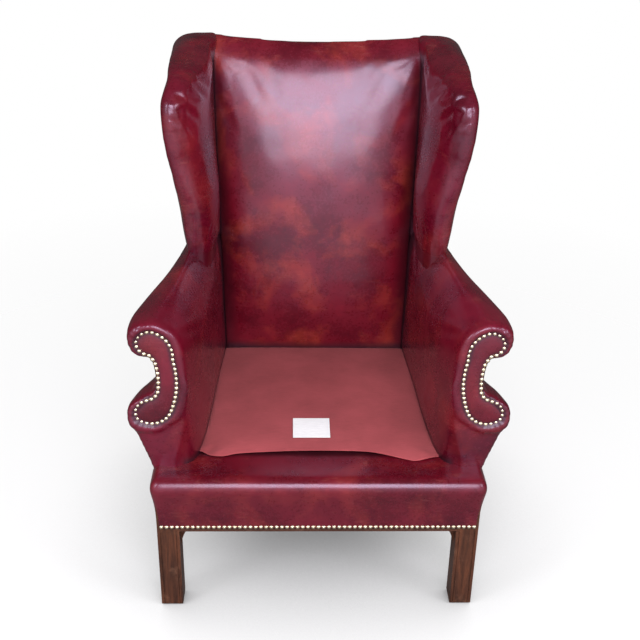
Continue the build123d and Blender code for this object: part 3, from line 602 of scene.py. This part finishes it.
def covered(form, material, slot, *replaced):
    """Gives a finished piece its leather or cloth and its place in the chair."""
    form.data.materials.clear()
    form.data.materials.append(material)
    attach(form, "root")
    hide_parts(*replaced)


# Lines of the chair

def panel_x(deep):
    """The outer face of the right side, under the arm."""
    return 351.6 - side_slope * (min(deep, 630) - 48)


def crease_x(up):
    """The seam between the inside back and the right arm or wing."""
    return 235 + 0.028 * (up - deck_level)


def back_deep(up):
    """How far back the inside back lies at its side seams."""
    return back_foot + back_slope * (up - deck_level)


# Arms

# How far back, then the shares of the roll, the lower lobe, the inner side and the waist
arm_table = [
    (57, 1, 1, 1, 1), (120, 1.08, 0.8, 0.8, 0.8), (200, 0.86, 0.2, 0.62, 0.6),
    (320, 0.5, 0.08, 0.46, 0.4), (430, 0.25, 0.06, 0.34, 0.2), (601, 0.15, 0.06, 0, 0),
    (700, 0.15, 0.06, 0, 0),
]
# How far the foot of the inner side runs outwards near the front
cone_table = [(50, 44), (57, 42), (62, 37), (68, 28), (75, 17), (84, 9), (94, 4), (120, 0), (700, 0)]
# The scroll's outline and the line of its nails: across and up
scroll = [
    (346, 686), (366, 680), (381, 671), (391, 653), (388, 633), (378, 615), (363, 606), (349, 602),
    (342, 586), (340, 550), (341, 536), (353, 520), (369, 511), (386, 498), (398, 482), (404, 463),
    (402, 446), (385, 431), (359, 427), (342, 428), (317, 443), (290, 466), (274, 515), (272, 541),
    (279, 579), (285, 628), (296, 658), (310, 671), (328, 681),
]
facing_ring = [
    (376, 641), (369, 621), (351, 612), (340, 597), (335, 558), (338, 522), (348, 510), (364, 503),
    (387, 478), (381, 456), (347, 448), (313, 476), (298, 538), (303, 600), (313, 644), (341, 664),
    (364, 660),
]
nail_line = smooth_run(facing_ring, 150, closed=True)
border_front = 57.5


def by_nails(place):
    """A dark line along the nails of the scroll, darkening the leather there."""
    if deep_of(place) > 63:
        return 0
    spot = Vector((place.x * 1000, place.z * 1000))
    gap = min((spot - mark).length for mark in nail_line)
    return 0.8 * ramp(gap, 9, 5)


def arm_hoop(deep):
    """The outline of the right arm at a depth, from its outer foot round to its inner one."""
    roll, lobe, inner, waist = reading(arm_table, deep)
    turn = reading(cone_table, deep)[0]
    waist_x = panel_x(deep) - 12 * waist
    tip_x = waist_x + 53 * roll

    def inner_x(up):
        return crease_x(up) + 35 * inner + turn * min(max((505 - up) / 163, 0), 1)

    foot = ((0, cover_foot), (9, 335), (21, 374), (39, 425))
    points = [(panel_x(deep) + out * lobe, up) for out, up in foot]
    low = ((1, 455), (0.955, 487), (0.5, 508), (0.2, 519), (0.08, 531))
    points += [(waist_x + 66 * lobe * share, up) for share, up in low]
    high = ((0, 552), (0.04, 588), (0.25, 604), (0.66, 609), (0.93, 625), (1, 650), (0.85, 672))
    points += [(waist_x + 53 * roll * share, up) for share, up in high]
    side = inner_x(579)
    top = ((0.6, 686), (0.42, 681), (0.27, 671), (0.14, 655), (0.04, 625))
    points += [(side + (tip_x - side) * share, up) for share, up in top]
    return points + [(inner_x(up), up) for up in (579, 540, 500, 455, 410, 370, 335, cover_foot)]


def inward_of(ring):
    """Each point of a closed ring with the direction to its inner side."""
    for before, here, after in zip(ring[-1:] + ring[:-1], ring, ring[1:] + ring[:1]):
        along = (after - before).normalized()
        yield here, Vector((along.y, -along.x))


def arm_form():
    """The right arm's stuffed body with the padded border of its scroll."""
    hoops = []
    for deep in (58.3, 63, 69, 76, 87, 100, 120, 145, 175, 210, 250, 300, 360, 430, 500, 560, 620, 674):
        lean = back_slope * ramp(deep, 500, 674)
        hoop = smooth_run(arm_hoop(deep), arm_points)
        hoops.append([at(x, deep - 2 + lean * (z - rail_top), z) for x, z in hoop])
    body = skin("arm_body", hoops)
    middle = []
    for here, inward in inward_of(smooth_run(scroll, 96, closed=True)):
        gap = min((here - mark).length for mark in nail_line)
        radius = min(max((gap - 4) / 2, 1.5), 10)
        middle.append((here + inward * radius, inward, radius))
    rounds = []
    for centre, inward, radius in middle + middle[:1]:
        hoop = []
        for number in range(12):
            angle = 2 * math.pi * number / 12
            out = -math.cos(angle) * radius
            deep = border_front - math.sin(angle) * radius
            hoop.append(at(centre.x + inward.x * out, deep, centre.y + inward.y * out))
        rounds.append(hoop)
    border = skin("arm_border", rounds, capped=False, looped=True)
    form = fused([body, border], voxel=5, rounds=5)
    form.name = "inside_arm_right"
    return form


def arm_painted_shade(place):
    """Painted shade on an arm: along the deck, in the back's crease, at the facing."""
    deep = deep_of(place)
    up = place.z * 1000
    across = place.x * 1000
    crease = ramp(deep, 570, 606) * ramp(across, 272, 258)
    deck = ramp(up, 358, 338) * ramp(across, 300, 285)
    waist = ramp(abs(up - 565), 38, 14) * ramp(across, 325, 345) * ramp(deep, 60, 72)
    return max(0.85 * crease, 0.85 * deck, 0.5 * waist, by_nails(place))


def arm_lift(place):
    """Pleats round the scroll's lobes and slack drag lines on the arm's inner side."""
    deep = deep_of(place)
    up = place.z * 1000
    across = place.x * 1000
    lift = 0.5 + 0.9 * noise.noise(place * 9) + 0.8 * ramp(deep, 60, 72) + 1.6 * ramp(across, 345, 380)
    if deep < 110:
        for centre_x, centre_z in ((352, 645), (360, 470)):
            angle = math.atan2(up - centre_z, across - centre_x)
            gap = math.hypot(across - centre_x, up - centre_z)
            if 20 < gap < 50 and across > centre_x - 14:
                lift += 0.3 * math.sin(angle * 17) * ramp(gap, 20, 30) * ramp(deep, 110, 70)
    return folded(place, arm_folds, lift)


arm_folds = [
    (at(276, 400, 672), at(258, 520, 610), 9, 2.0),
    (at(290, 392, 683), at(262, 470, 630), 6, -1.4),
    (at(272, 96, 490), at(268, 170, 420), 8, 1.6),
    (at(278, 90, 470), at(266, 150, 400), 5, -1.2),
    (at(262, 180, 360), at(250, 330, 430), 14, 1.2),
]

arm_right = arm_form()
stuffed(
    arm_right, pressure=2.5, most=6,
    held=lambda place: not 74 <= deep_of(place) <= 610 or place.z < 0.32 or place.x > 0.315,
)
softened(arm_right)
dressed(arm_right, arm_lift)
shaded(arm_right, arm_painted_shade)
arm_left = mirrored(arm_right, "inside_arm_left")
for arm, side in ((arm_right, "right"), (arm_left, "left")):
    covered(arm, oxblood, "leather", "arm_pad_" + side, "inside_arm_cover_" + side)


def facing_form():
    """The panel inside the nails of the right arm's scroll, crowned over thin wadding."""
    ring = smooth_run(facing_ring, 84, closed=True)
    hoops = []
    for inset, deep in ((-4.2, 57), (-4.2, 55.6), (-2, 55.2), (3, 54.5), (8, 53.4), (13, 52.6)):
        places = [here + inward * inset for here, inward in inward_of(ring)]
        hoops.append([at(x, deep, up) for x, up in places])
    return skin("arm_facing_panel_right", hoops)


facing_right = facing_form()
shaded(facing_right, by_nails)
softened(facing_right, 0)
facing_left = mirrored(facing_right, "arm_facing_panel_left")
for panel, side in ((facing_right, "right"), (facing_left, "left")):
    covered(panel, facing_red, "leather", "arm_facing_" + side)

# Wings

# Height, then the front edge's depth and the outer faces in front and behind
wing_table = [
    (640, 424, 301, 302), (690, 420, 303, 307), (725, 415, 305, 310), (770, 410, 306, 314),
    (812, 405, 312, 318), (845, 400, 320, 322), (877, 398, 326, 325), (910, 395, 333, 328),
    (945, 390, 338, 331), (978, 388, 341, 334), (1012, 388, 343, 340), (1038, 392, 343, 344),
    (1056, 402, 341, 348), (1071, 422, 331, 351), (1086, 455, 333, 352), (1098, 505, 336, 349),
    (1108, 566, 332, 341), (1117, 630, 320, 329), (1123, 680, 306, 315), (1126, 705, 293, 300),
]
# The ends of the outside wing's cover
wing_low = 652
wing_high = 1088


def wing_hoop(up):
    """The plan of the right wing at a height."""
    front, outer, rear_outer = reading(wing_table, up)
    front -= 2
    over = 20 * ramp(up, 1080, 1126) ** 2
    brow = 1.2 * ramp(up, 1040, 1080)
    seam = crease_x(up) - 1 - 8 * ramp(up, 1060, 1112)
    rear = back_deep(up) + back_depth - 2
    rear -= reading([(640, 0), (1070, 0), (1100, 4), (1117, 16), (1123, 26), (1126, 36)], up)[0]
    turn = max(back_deep(up) - 6, front + 30)
    reach = max(back_deep(up) + 42, turn + 20)
    sunk = 7 * ramp(up, 694, 668)
    inner = outer - 56 + sunk + over
    return [
        (seam, min(reach, rear)),
        (seam + 1, min(turn + 14, rear - 4)),
        (seam + 8 + sunk + over / 2, turn - 6),
        (seam + (inner - seam) * 0.5 - 6 + sunk, (turn + front + 40) / 2),
        (inner - 1 + 6 * brow, front + 42),
        (outer - 51 + sunk + over + 11 * brow, front + 20),
        (outer - 36 + 9 * brow, front + 3 + 4 * brow),
        (outer - 17, front - 1),
        (outer - 5, front + 6),
        (outer + 1, front + 22),
        (outer + (rear_outer - outer) * 0.5, (front + rear) / 2),
        (rear_outer, rear - 10),
        (rear_outer - 8, rear),
        ((rear_outer + seam) / 2, rear),
        (seam + 6, rear),
    ]


def wing_form():
    """The right wing's stuffed body."""
    hoops = []
    for up in (*range(640, 1060, 20), 1064, 1074, 1084, 1094, 1102, 1109, 1115, 1120, 1124, 1126):
        hoops.append([at(x, deep, up) for x, deep in smooth_run(wing_hoop(up), 72, closed=True)])
    form = fused([skin("wing_body", hoops)], voxel=5, rounds=8)
    form.name = "inside_wing_right"
    return form


wing_folds = [
    (at(290, 412, 700), at(298, 404, 760), 7, 1.8),
    (at(276, 440, 692), at(288, 424, 750), 7, 1.5),
    (at(283, 430, 694), at(292, 410, 735), 5, -1.2),
    (at(262, 560, 665), at(270, 500, 740), 10, 1.5),
    (at(250, 640, 1080), at(285, 470, 930), 14, 2.0),
    (at(262, 610, 1090), at(300, 440, 1000), 11, 1.3),
]


def wing_lift(place):
    """Slack and drag lines on a wing."""
    return folded(place, wing_folds, 2.8 + noise.noise(place * 7 + Vector((3, 1, 2))))


def wing_painted_shade(place):
    """Painted shade in the crease beside the back and in the seam over the arm."""
    up = place.z * 1000
    depth = deep_of(place) - back_deep(up)
    side = place.x * 1000 - crease_x(up)
    crease = ramp(depth, -34, -2) * ramp(up, 1108, 1065) * ramp(side, 34, 18) * ramp(depth, 30, 10)
    foot = 0.3 * ramp(up, 690, 678)
    return 0.9 * max(crease, foot)


wing_right = wing_form()
stuffed(
    wing_right, pressure=2.5, most=7,
    held=lambda place: (
        not 0.69 <= place.z <= 1.09 or deep_of(place) > back_deep(place.z * 1000) or place.x > 0.328
    ),
)
softened(wing_right)
dressed(wing_right, wing_lift)
shaded(wing_right, wing_painted_shade)
wing_left = mirrored(wing_right, "inside_wing_left")
for wing, side in ((wing_right, "right"), (wing_left, "left")):
    covered(wing, oxblood, "leather", "wing_pad_" + side, "inside_wing_cover_" + side)

# Inside back

# Height, and how far the inside back's crown stands forward
crown_table = [
    (294, 2), (342, 7), (400, 14), (450, 20), (560, 30), (660, 36), (750, 35.5), (850, 31), (930, 25),
    (1000, 17), (1050, 10), (1080, 6), (1100, 3), (1110, 2),
]
# Where the crest's rounding starts, how high it is and how far it draws back
crest_start = 985.0
crest_rise = 123.6
crest_draw = 48.0
# How far the back's edges draw in, and how far its top corners rise
edge_draw = 9
corner_rise = 17


def back_hoop(up):
    """The plan of the inside back at a height, with its crown."""
    half = crease_x(up) + 2 + 6 * ramp(up, 1040, 1100)
    crown = reading(crown_table, up)[0]
    over = min(max(up - crest_start, 0) / crest_rise, 1)
    front = back_deep(up) + crest_draw * (1 - math.sqrt(max(1 - over**2.6, 0)))
    over = min(max(up - 1080, 0) / 28.6, 1)
    rear = back_deep(up) + back_depth - 3 - 26 * (1 - math.sqrt(max(1 - over**2, 0)))
    raised = corner_rise * ramp(up, 1000, 1108)
    edge = front + edge_draw
    ring = []
    for number in range(41):
        share = number / 20 - 1
        swell = (1 - abs(share) ** 3) ** 0.55
        deep = front + edge_draw * (1 - swell) - crown * swell
        ring.append(at(half * share, deep, up + raised * abs(share) ** 2.6))
    for number in range(1, 8):
        ring.append(at(half, edge + (rear - edge) * number / 8, up + raised))
    for number in range(17):
        share = 1 - number / 8
        ring.append(at(half * share, rear, up + raised * abs(share) ** 2.6))
    for number in range(7, 0, -1):
        ring.append(at(-half, edge + (rear - edge) * number / 8, up + raised))
    return ring


def back_form():
    """The inside back's stuffed body, up over the crest."""
    heights = [*range(294, 1040, 24), 1040, 1052, 1064, 1075, 1084, 1092, 1098, 1103, 1106.5, 1108.2]
    form = fused([skin("back_body", [back_hoop(up) for up in heights])], voxel=6, rounds=4)
    form.name = "inside_back"
    return form


back_folds = []
for side in (-1, 1):
    for end_x, end_z, width, height in (
        (196, 950, 9, 1.7), (170, 1010, 9, 1.5), (214, 860, 8, 1.2), (120, 1058, 10, 1.2), (222, 740, 7, 0.8),
    ):
        start = at(side * 238, back_deep(1095), 1095)
        end = at(side * end_x, back_deep(end_z) - reading(crown_table, end_z)[0], end_z)
        back_folds.append((start, end, width, height))
back_folds += [
    (at(228, 690, 1082), at(150, 668, 1040), 7, -2.2),
    (at(60, 578, 640), at(180, 585, 600), 12, 1.4),
    (at(-150, 576, 700), at(20, 572, 735), 16, 1.2),
]


def back_lift(place):
    """Drag lines from the top corners, and the slack of a sat-in back."""
    lift = 1.6 * noise.noise(place * 6 + Vector((5, 0, 9))) + 0.5 * noise.noise(place * 19)
    return folded(place, back_folds, lift)


def back_painted_shade(place):
    """Painted shade in the creases beside the wings and over the deck, and a broader band of it beside the
    creases near the top.
    """
    up = place.z * 1000
    side = crease_x(up) - abs(place.x) * 1000
    crease = ramp(side, 13, 1) * ramp(up, 1112, 1070) * ramp(deep_of(place) - back_deep(up), 44, 24)
    deck = ramp(up, 366, 340)
    return max(0.92 * crease, 0.92 * deck, 0.5 * ramp(side, 46, 6) * ramp(up, 1090, 1000))


inside_back = back_form()
stuffed(
    inside_back, pressure=3, most=16,
    held=lambda place: deep_of(place) > back_deep(place.z * 1000) + 6 or not 0.33 <= place.z <= 1.085,
)
softened(inside_back)
dressed(inside_back, back_lift)
shaded(inside_back, back_painted_shade)
covered(inside_back, back_red, "leather", "back_pad", "inside_back_cover")

# Seat front and deck

# Along the rise from the hem: how far out of the rail's face, and the height
front_profile = [
    (1.7, 215.2), (2, 228), (2.4, 244), (3.4, 262), (5.4, 280), (8.2, 296), (10.4, 307), (11.3, 316),
    (10.4, 324), (7.4, 331), (2.2, 337),
]
# Along the top from the front edge to under the deck: the share of the way back, and the height
top_profile = [
    (0.045, 340.4), (0.13, 341.6), (0.25, 340), (0.42, 337.5), (0.62, 336), (0.82, 335.5), (1, 334),
]


def corner_run(out):
    """Places along the seat's front edge at a distance out of its face, from left to right."""
    half = 350 + out
    radius = 13 + out * 0.6
    turns = [math.pi / 2 * number / 6 for number in range(1, 6)]
    side = [(half, 62), (half, 40), (half, radius - out + 4)]
    side += [(half - radius * (1 - math.cos(turn)), radius * (1 - math.sin(turn)) - out) for turn in turns]
    face = [((half - radius) * (number / 30 - 1), -out) for number in range(61)]
    return [(-x, deep) for x, deep in side] + face + side[::-1]


run_length = len(corner_run(0))
profile_length = len(front_profile) + len(top_profile)


def seat_front_place(across, rise):
    """The seat front's surface: up its face, over its edge and back along its top."""
    column = round(across * (run_length - 1))
    row = round(rise * (profile_length - 1))
    if row < len(front_profile):
        out, up = front_profile[row]
        x, deep = corner_run(out)[column]
        return at(x, deep, up)
    share, up = top_profile[row - len(front_profile)]
    x, deep = corner_run(1.5)[column]
    target = 300 * (2 * column / (run_length - 1) - 1)
    return at(x + (target - x) * share, deep + (124 - deep) * share, up)


def seat_front_lift(place):
    """The uneven pull of the leather over the front edge."""
    deep = deep_of(place)
    up = place.z * 1000
    lift = 1.3 * noise.noise(Vector((place.x * 7, place.y * 5, place.z * 11))) * ramp(up, 222, 262)
    ripple = noise.noise(Vector((place.x * 24, place.y * 6, 2)))
    lift += 0.7 * ripple * ramp(deep, 12, 40) * ramp(up, 322, 336)
    return folded(place, seat_folds, lift)


seat_folds = [
    (at(232, 60, 338), at(292, 96, 336), 6, 2.0),
    (at(222, 68, 338), at(268, 104, 336), 4, -1.5),
    (at(-256, 102, 336), at(-214, 84, 338), 7, 1.6),
    (at(-344, 12, 338), at(-352, -2, 318), 6, 1.4),
    (at(344, 12, 338), at(352, -2, 318), 6, 1.4),
]

seat_front = sheet_of("seat_front", run_length - 1, profile_length - 1, seat_front_place)
turned_out(seat_front, (0, -1, 0.4))
applied(seat_front, "SUBSURF", levels=2, render_levels=2)
dressed(seat_front, seat_front_lift)
thickened(seat_front, hide_thick)
# Painted shadow behind the front edge, where the deck cloth's seam lies over the leather, and a darker band
# along the hem by the nails.
shaded(seat_front, lambda place: 0.8 * max(
    ramp(deep_of(place), 88, 112) * ramp(place.z, 0.3, 0.33),
    0.7 * ramp(place.z, 0.2225, 0.2165),
))
softened(seat_front, 0)
covered(seat_front, seat_red, "leather", "seat_front_cover")

# Across, and how far back the deck's front seam is there
seam_line = [
    (-290, 132), (-267, 115), (-251, 109), (-232, 95), (-210, 93), (-177, 102), (-120, 107), (-41, 111),
    (61, 111), (117, 107), (162, 93), (206, 80), (225, 77), (257, 92), (283, 104), (300, 118),
]
# How far back, and half the deck's width there
deck_sides = [
    (70, 262), (95, 284), (105, 285), (140, 275), (190, 268), (293, 262), (436, 257), (583, 249), (640, 246),
]
deck_rear = 628


def seam_deep(across):
    """How far back the deck cloth's front edge is."""
    return reading(seam_line, min(max(across, -290), 300))[0]


def deck_place(across, along):
    """The deck cloth's surface between the arms, from its front seam to under the back."""
    side = 2 * across - 1
    middle = seam_deep(side * 282)
    deep = middle + (deck_rear - middle) * along
    half = reading(deck_sides, deep)[0]
    edge = min(deep - middle, 30) / 30
    crown = 9 * (1 - abs(side) ** 3) * math.sin(math.pi * min(max((deep - 60) / 560, 0), 1)) ** 0.5
    tuck = 16 * max(abs(side) - 0.93, 0) / 0.07
    up = 337 + crown + 2.2 * math.sqrt(max(edge, 0)) - tuck * tuck / 16 - 14 * ramp(deep, 590, 626)
    return at(side * half, deep, up)


deck = sheet_of("deck_cloth_cover", 76, 84, deck_place)
turned_out(deck, (0, 0, 1))
deck_folds = [
    (at(-262, 108, 340), at(-234, 168, 343), 7, 3.4),
    (at(-246, 100, 340), at(-216, 158, 343), 6, -2.4),
    (at(-228, 94, 340), at(-200, 140, 343), 7, 2.6),
    (at(244, 88, 340), at(208, 150, 343), 9, 2.8),
]


def deck_lift(place):
    """Slack in the deck cloth."""
    return folded(place, deck_folds, 0.9 * noise.noise(place * 8 + Vector((1, 7, 0))))


dressed(deck, deck_lift)
thickened(deck, cotton_thick)
softened(deck)


def deck_hollow(place):
    """Shade where the cloth tucks under the arms and the back."""
    deep = deep_of(place)
    half = reading(deck_sides, deep)[0]
    return 0.6 * max(ramp(half - abs(place.x) * 1000, 18, 6), ramp(deep, 588, 606))


shaded(deck, deck_hollow)
covered(deck, cotton, "seat_cotton", "deck_cloth")


def stuffing_hoop(up, inset):
    """The plan of the seat's stuffing under the deck and the front edge."""
    ring = [(-318, 12), (0, 10), (318, 12), (330, 40), (262, 110), (254, 300), (246, 440), (234, 586)]
    ring += [(0, 590), (-234, 586), (-246, 440), (-254, 300), (-262, 110), (-330, 40)]
    places = []
    for x, deep in ring:
        shift = Vector((x, deep - 320)) * (1 - inset / 300)
        places.append(at(shift.x, shift.y + 320, up))
    return smooth_run(places, 56, closed=True)


stuffing_levels = ((296, 4), (310, 0), (322, 4), (329, 14), (332, 30))
stuffing_hoops = [stuffing_hoop(up, inset) for up, inset in stuffing_levels]
stuffing = fused([skin("stuffing_body", stuffing_hoops)], voxel=8, rounds=3)
stuffing.name = "seat_stuffing"
softened(stuffing, 0)
covered(stuffing, felt, "stuffing", "seat_pad", "front_edge_roll")

# Outside covers

def outside_arm_place(along, rise):
    """The outside of the right arm, from the rail's hem up under the roll."""
    row = rise * 30
    spot = min(int(max(row - 6, 0) * 1.04), 25)
    upper = smooth_run(arm_hoop(96 + 572 * along), arm_points)[spot]
    start = 62 + 34 * ramp(upper.y, 318, 400)
    rear = 672 + back_slope * max(upper.y - rail_top, 0)
    deep = start + (rear - start) * along
    upper = smooth_run(arm_hoop(max(deep, 78)), arm_points)[spot]
    if row < 6:
        return at(panel_x(deep) + 1.8, deep, hem + 1 + (cover_foot - hem) * row / 6)
    return at(upper.x + 2.6 - 4 * ramp(row, 27, 30), deep, upper.y)


outside_arm_right = sheet_of("outside_arm_right", 40, 30, outside_arm_place)
turned_out(outside_arm_right, (1, 0, 0))
thickened(outside_arm_right, hide_thick)


def outside_wing_place(along, rise):
    """The outside of the right wing, behind the roll of its front edge."""
    up = wing_low + (wing_high - wing_low) * rise
    front, outer, rear_outer = reading(wing_table, up)
    rear = back_deep(up) + back_depth
    start = front + 30
    return at(outer + (rear_outer - outer) * along + 1.8, start + (rear - start) * along, up)


outside_wing_right = sheet_of("outside_wing_right", 24, 30, outside_wing_place)
turned_out(outside_wing_right, (1, 0, 0))
thickened(outside_wing_right, hide_thick)

# Height, and half the outside back's width
back_outline = [
    (215, 295.5), (292, 296), (400, 297), (560, 299), (640, 303), (690, 307), (770, 314), (845, 322),
    (910, 328), (978, 334), (1038, 339), (1072, 340), (1092, 337),
]


def outside_back_place(across, rise):
    """The outside back, from the rear rail's hem up to the crest."""
    up = hem + 1 + (back_outline[-1][0] - hem) * rise
    half = reading(back_outline, up)[0] - 1
    side = 2 * across - 1
    rear = 673.6 + max(up - rail_top, 0) * back_slope
    bow = 4 * (1 - side * side) * math.sin(math.pi * rise)
    return at(half * side, rear + 1.6 + bow, up)


outside_back = sheet_of("outside_back", 40, 48, outside_back_place)
turned_out(outside_back, (0, 1, 0))
thickened(outside_back, hide_thick)

for cover in (outside_arm_right, outside_wing_right, outside_back):
    softened(cover)
    dressed(cover, lambda place: 0.8 * noise.noise(place * 7))
    shaded(cover, lambda place: 0.0)
outside_arm_left = mirrored(outside_arm_right, "outside_arm_left")
outside_wing_left = mirrored(outside_wing_right, "outside_wing_left")
for cover, node in (
    (outside_arm_right, "outside_arm_cover_right"), (outside_arm_left, "outside_arm_cover_left"),
    (outside_wing_right, "outside_wing_cover_right"), (outside_wing_left, "outside_wing_cover_left"),
):
    covered(cover, oxblood, "leather", node)
covered(outside_back, oxblood, "leather", "outside_back_cover")

# Floor, light and camera

select_none()
bpy.ops.mesh.primitive_plane_add(size=60, location=(0, 0, -0.0005))
floor = bpy.context.object
floor.name = "floor"
paper = bpy.data.materials.new("pale_paper")
paper.use_nodes = True
tree = paper.node_tree
tree.nodes.remove(tree.nodes["Principled BSDF"])
matt = add_node(tree, "ShaderNodeBsdfDiffuse", {"Color": (0.78, 0.78, 0.78, 1)})
rays = tree.nodes.new("ShaderNodeLightPath").outputs
# The floor's glow is dimmed by ambient occlusion near the chair: a painted contact shadow beneath it. Glossy
# rays see the glow far dimmer.
painted_contact_shadow = add_node(tree, "ShaderNodeAmbientOcclusion", {"Distance": 0.5}, samples=8).outputs["AO"]
glossy = rays["Is Glossy Ray"]
level = times(tree, spread(tree, painted_contact_shadow, 0.1, 0.9, 0.06, 1.0), spread(tree, glossy, 0, 1, 1, 0.16))
glow = add_node(tree, "ShaderNodeEmission", {"Color": (1, 1, 1, 1), "Strength": level})
seen = sum_of(tree, rays["Is Camera Ray"], rays["Is Transmission Ray"])
share = sum_of(tree, spread(tree, seen, 0, 1, 0, 0.58), times(tree, glossy, 0.94))
mixed = add_node(tree, "ShaderNodeMixShader", {0: share, 1: matt.outputs[0], 2: glow.outputs[0]})
clear = add_node(tree, "ShaderNodeBsdfTransparent")
spot = tree.nodes.new("ShaderNodeTexCoord").outputs["Object"]
away = add_node(tree, "ShaderNodeVectorMath", {0: spot}, operation="LENGTH").outputs["Value"]
below = tree.nodes.new("ShaderNodeNewGeometry").outputs["Backfacing"]
hidden = sum_of(tree, spread(tree, away, 0.7, 2.4), below, "MAXIMUM")
faded = add_node(tree, "ShaderNodeMixShader", {0: hidden, 1: mixed.outputs[0], 2: clear.outputs[0]})
tree.links.new(faded.outputs[0], tree.nodes["Material Output"].inputs["Surface"])
floor.data.materials.append(paper)

world = bpy.data.worlds.new("studio")
scene.world = world
world.use_nodes = True
tree = world.node_tree
rays = tree.nodes.new("ShaderNodeLightPath").outputs
ahead = tree.nodes.new("ShaderNodeTexCoord").outputs["Generated"]
rise = add_node(tree, "ShaderNodeSeparateXYZ", {0: ahead}).outputs["Z"]
depth = add_node(tree, "ShaderNodeSeparateXYZ", {0: ahead}).outputs["Y"]
fall = times(tree, spread(tree, depth, -0.75, 0.1, 1, 0), spread(tree, rise, 0.25, 0.8, 1, 0.1))
sky = times(tree, rays["Is Glossy Ray"], spread(tree, fall, 0, 1, 0.07, 1.0))
seen = sum_of(tree, sum_of(tree, rays["Is Camera Ray"], sky), rays["Is Transmission Ray"])
soft = times(tree, rays["Is Diffuse Ray"], spread(tree, rise, 0, 0.85, 0.42, 1.05))
tree.links.new(sum_of(tree, seen, soft), tree.nodes["Background"].inputs["Strength"])
tree.nodes["Background"].inputs["Color"].default_value = (1, 1, 1, 1)


def lamp(name, place, aim, width, height, power):
    """A soft box aimed at a place."""
    light = bpy.data.lights.new(name, "AREA")
    light.shape = "RECTANGLE"
    light.size = width
    light.size_y = height
    light.energy = power
    light.color = lamp_color
    box = bpy.data.objects.new(name, light)
    scene.collection.objects.link(box)
    box.location = place
    box.rotation_euler = (Vector(aim) - Vector(place)).to_track_quat("-Z", "Y").to_euler()


lamp_color = (0.97, 0.95, 1)
lamp("front_softbox", (0.15, -2.6, 2.3), (0, 0.2, 1.0), 1.9, 1.2, 60)
lamp("low_softbox", (0.1, -2.8, 1.4), (0, 0.2, 0.8), 1.5, 0.8, 22)
lamp("right_softbox", (2.0, -1.5, 1.8), (0, 0, 0.7), 0.7, 1.2, 18)
lamp("left_softbox", (-2.0, -1.6, 1.8), (0, 0, 0.7), 0.7, 1.2, 20)

lens = bpy.data.cameras.new("camera")
lens.lens = 55.43
lens.sensor_width = 36
camera = bpy.data.objects.new("camera", lens)
scene.collection.objects.link(camera)
ahead = Vector((0.03007, 0.89319, -0.44867)).normalized()
right = Vector((0.99953, -0.02461, 0.01801)).normalized()
upward = right.cross(ahead).normalized()
camera.matrix_world = Matrix.Translation((-0.0633, -2.0908, 1.5812)) @ Matrix((
    (right.x, upward.x, -ahead.x, 0),
    (right.y, upward.y, -ahead.y, 0),
    (right.z, upward.z, -ahead.z, 0),
    (0, 0, 0, 1),
))
scene.camera = camera
scene.view_settings.view_transform = "Standard"
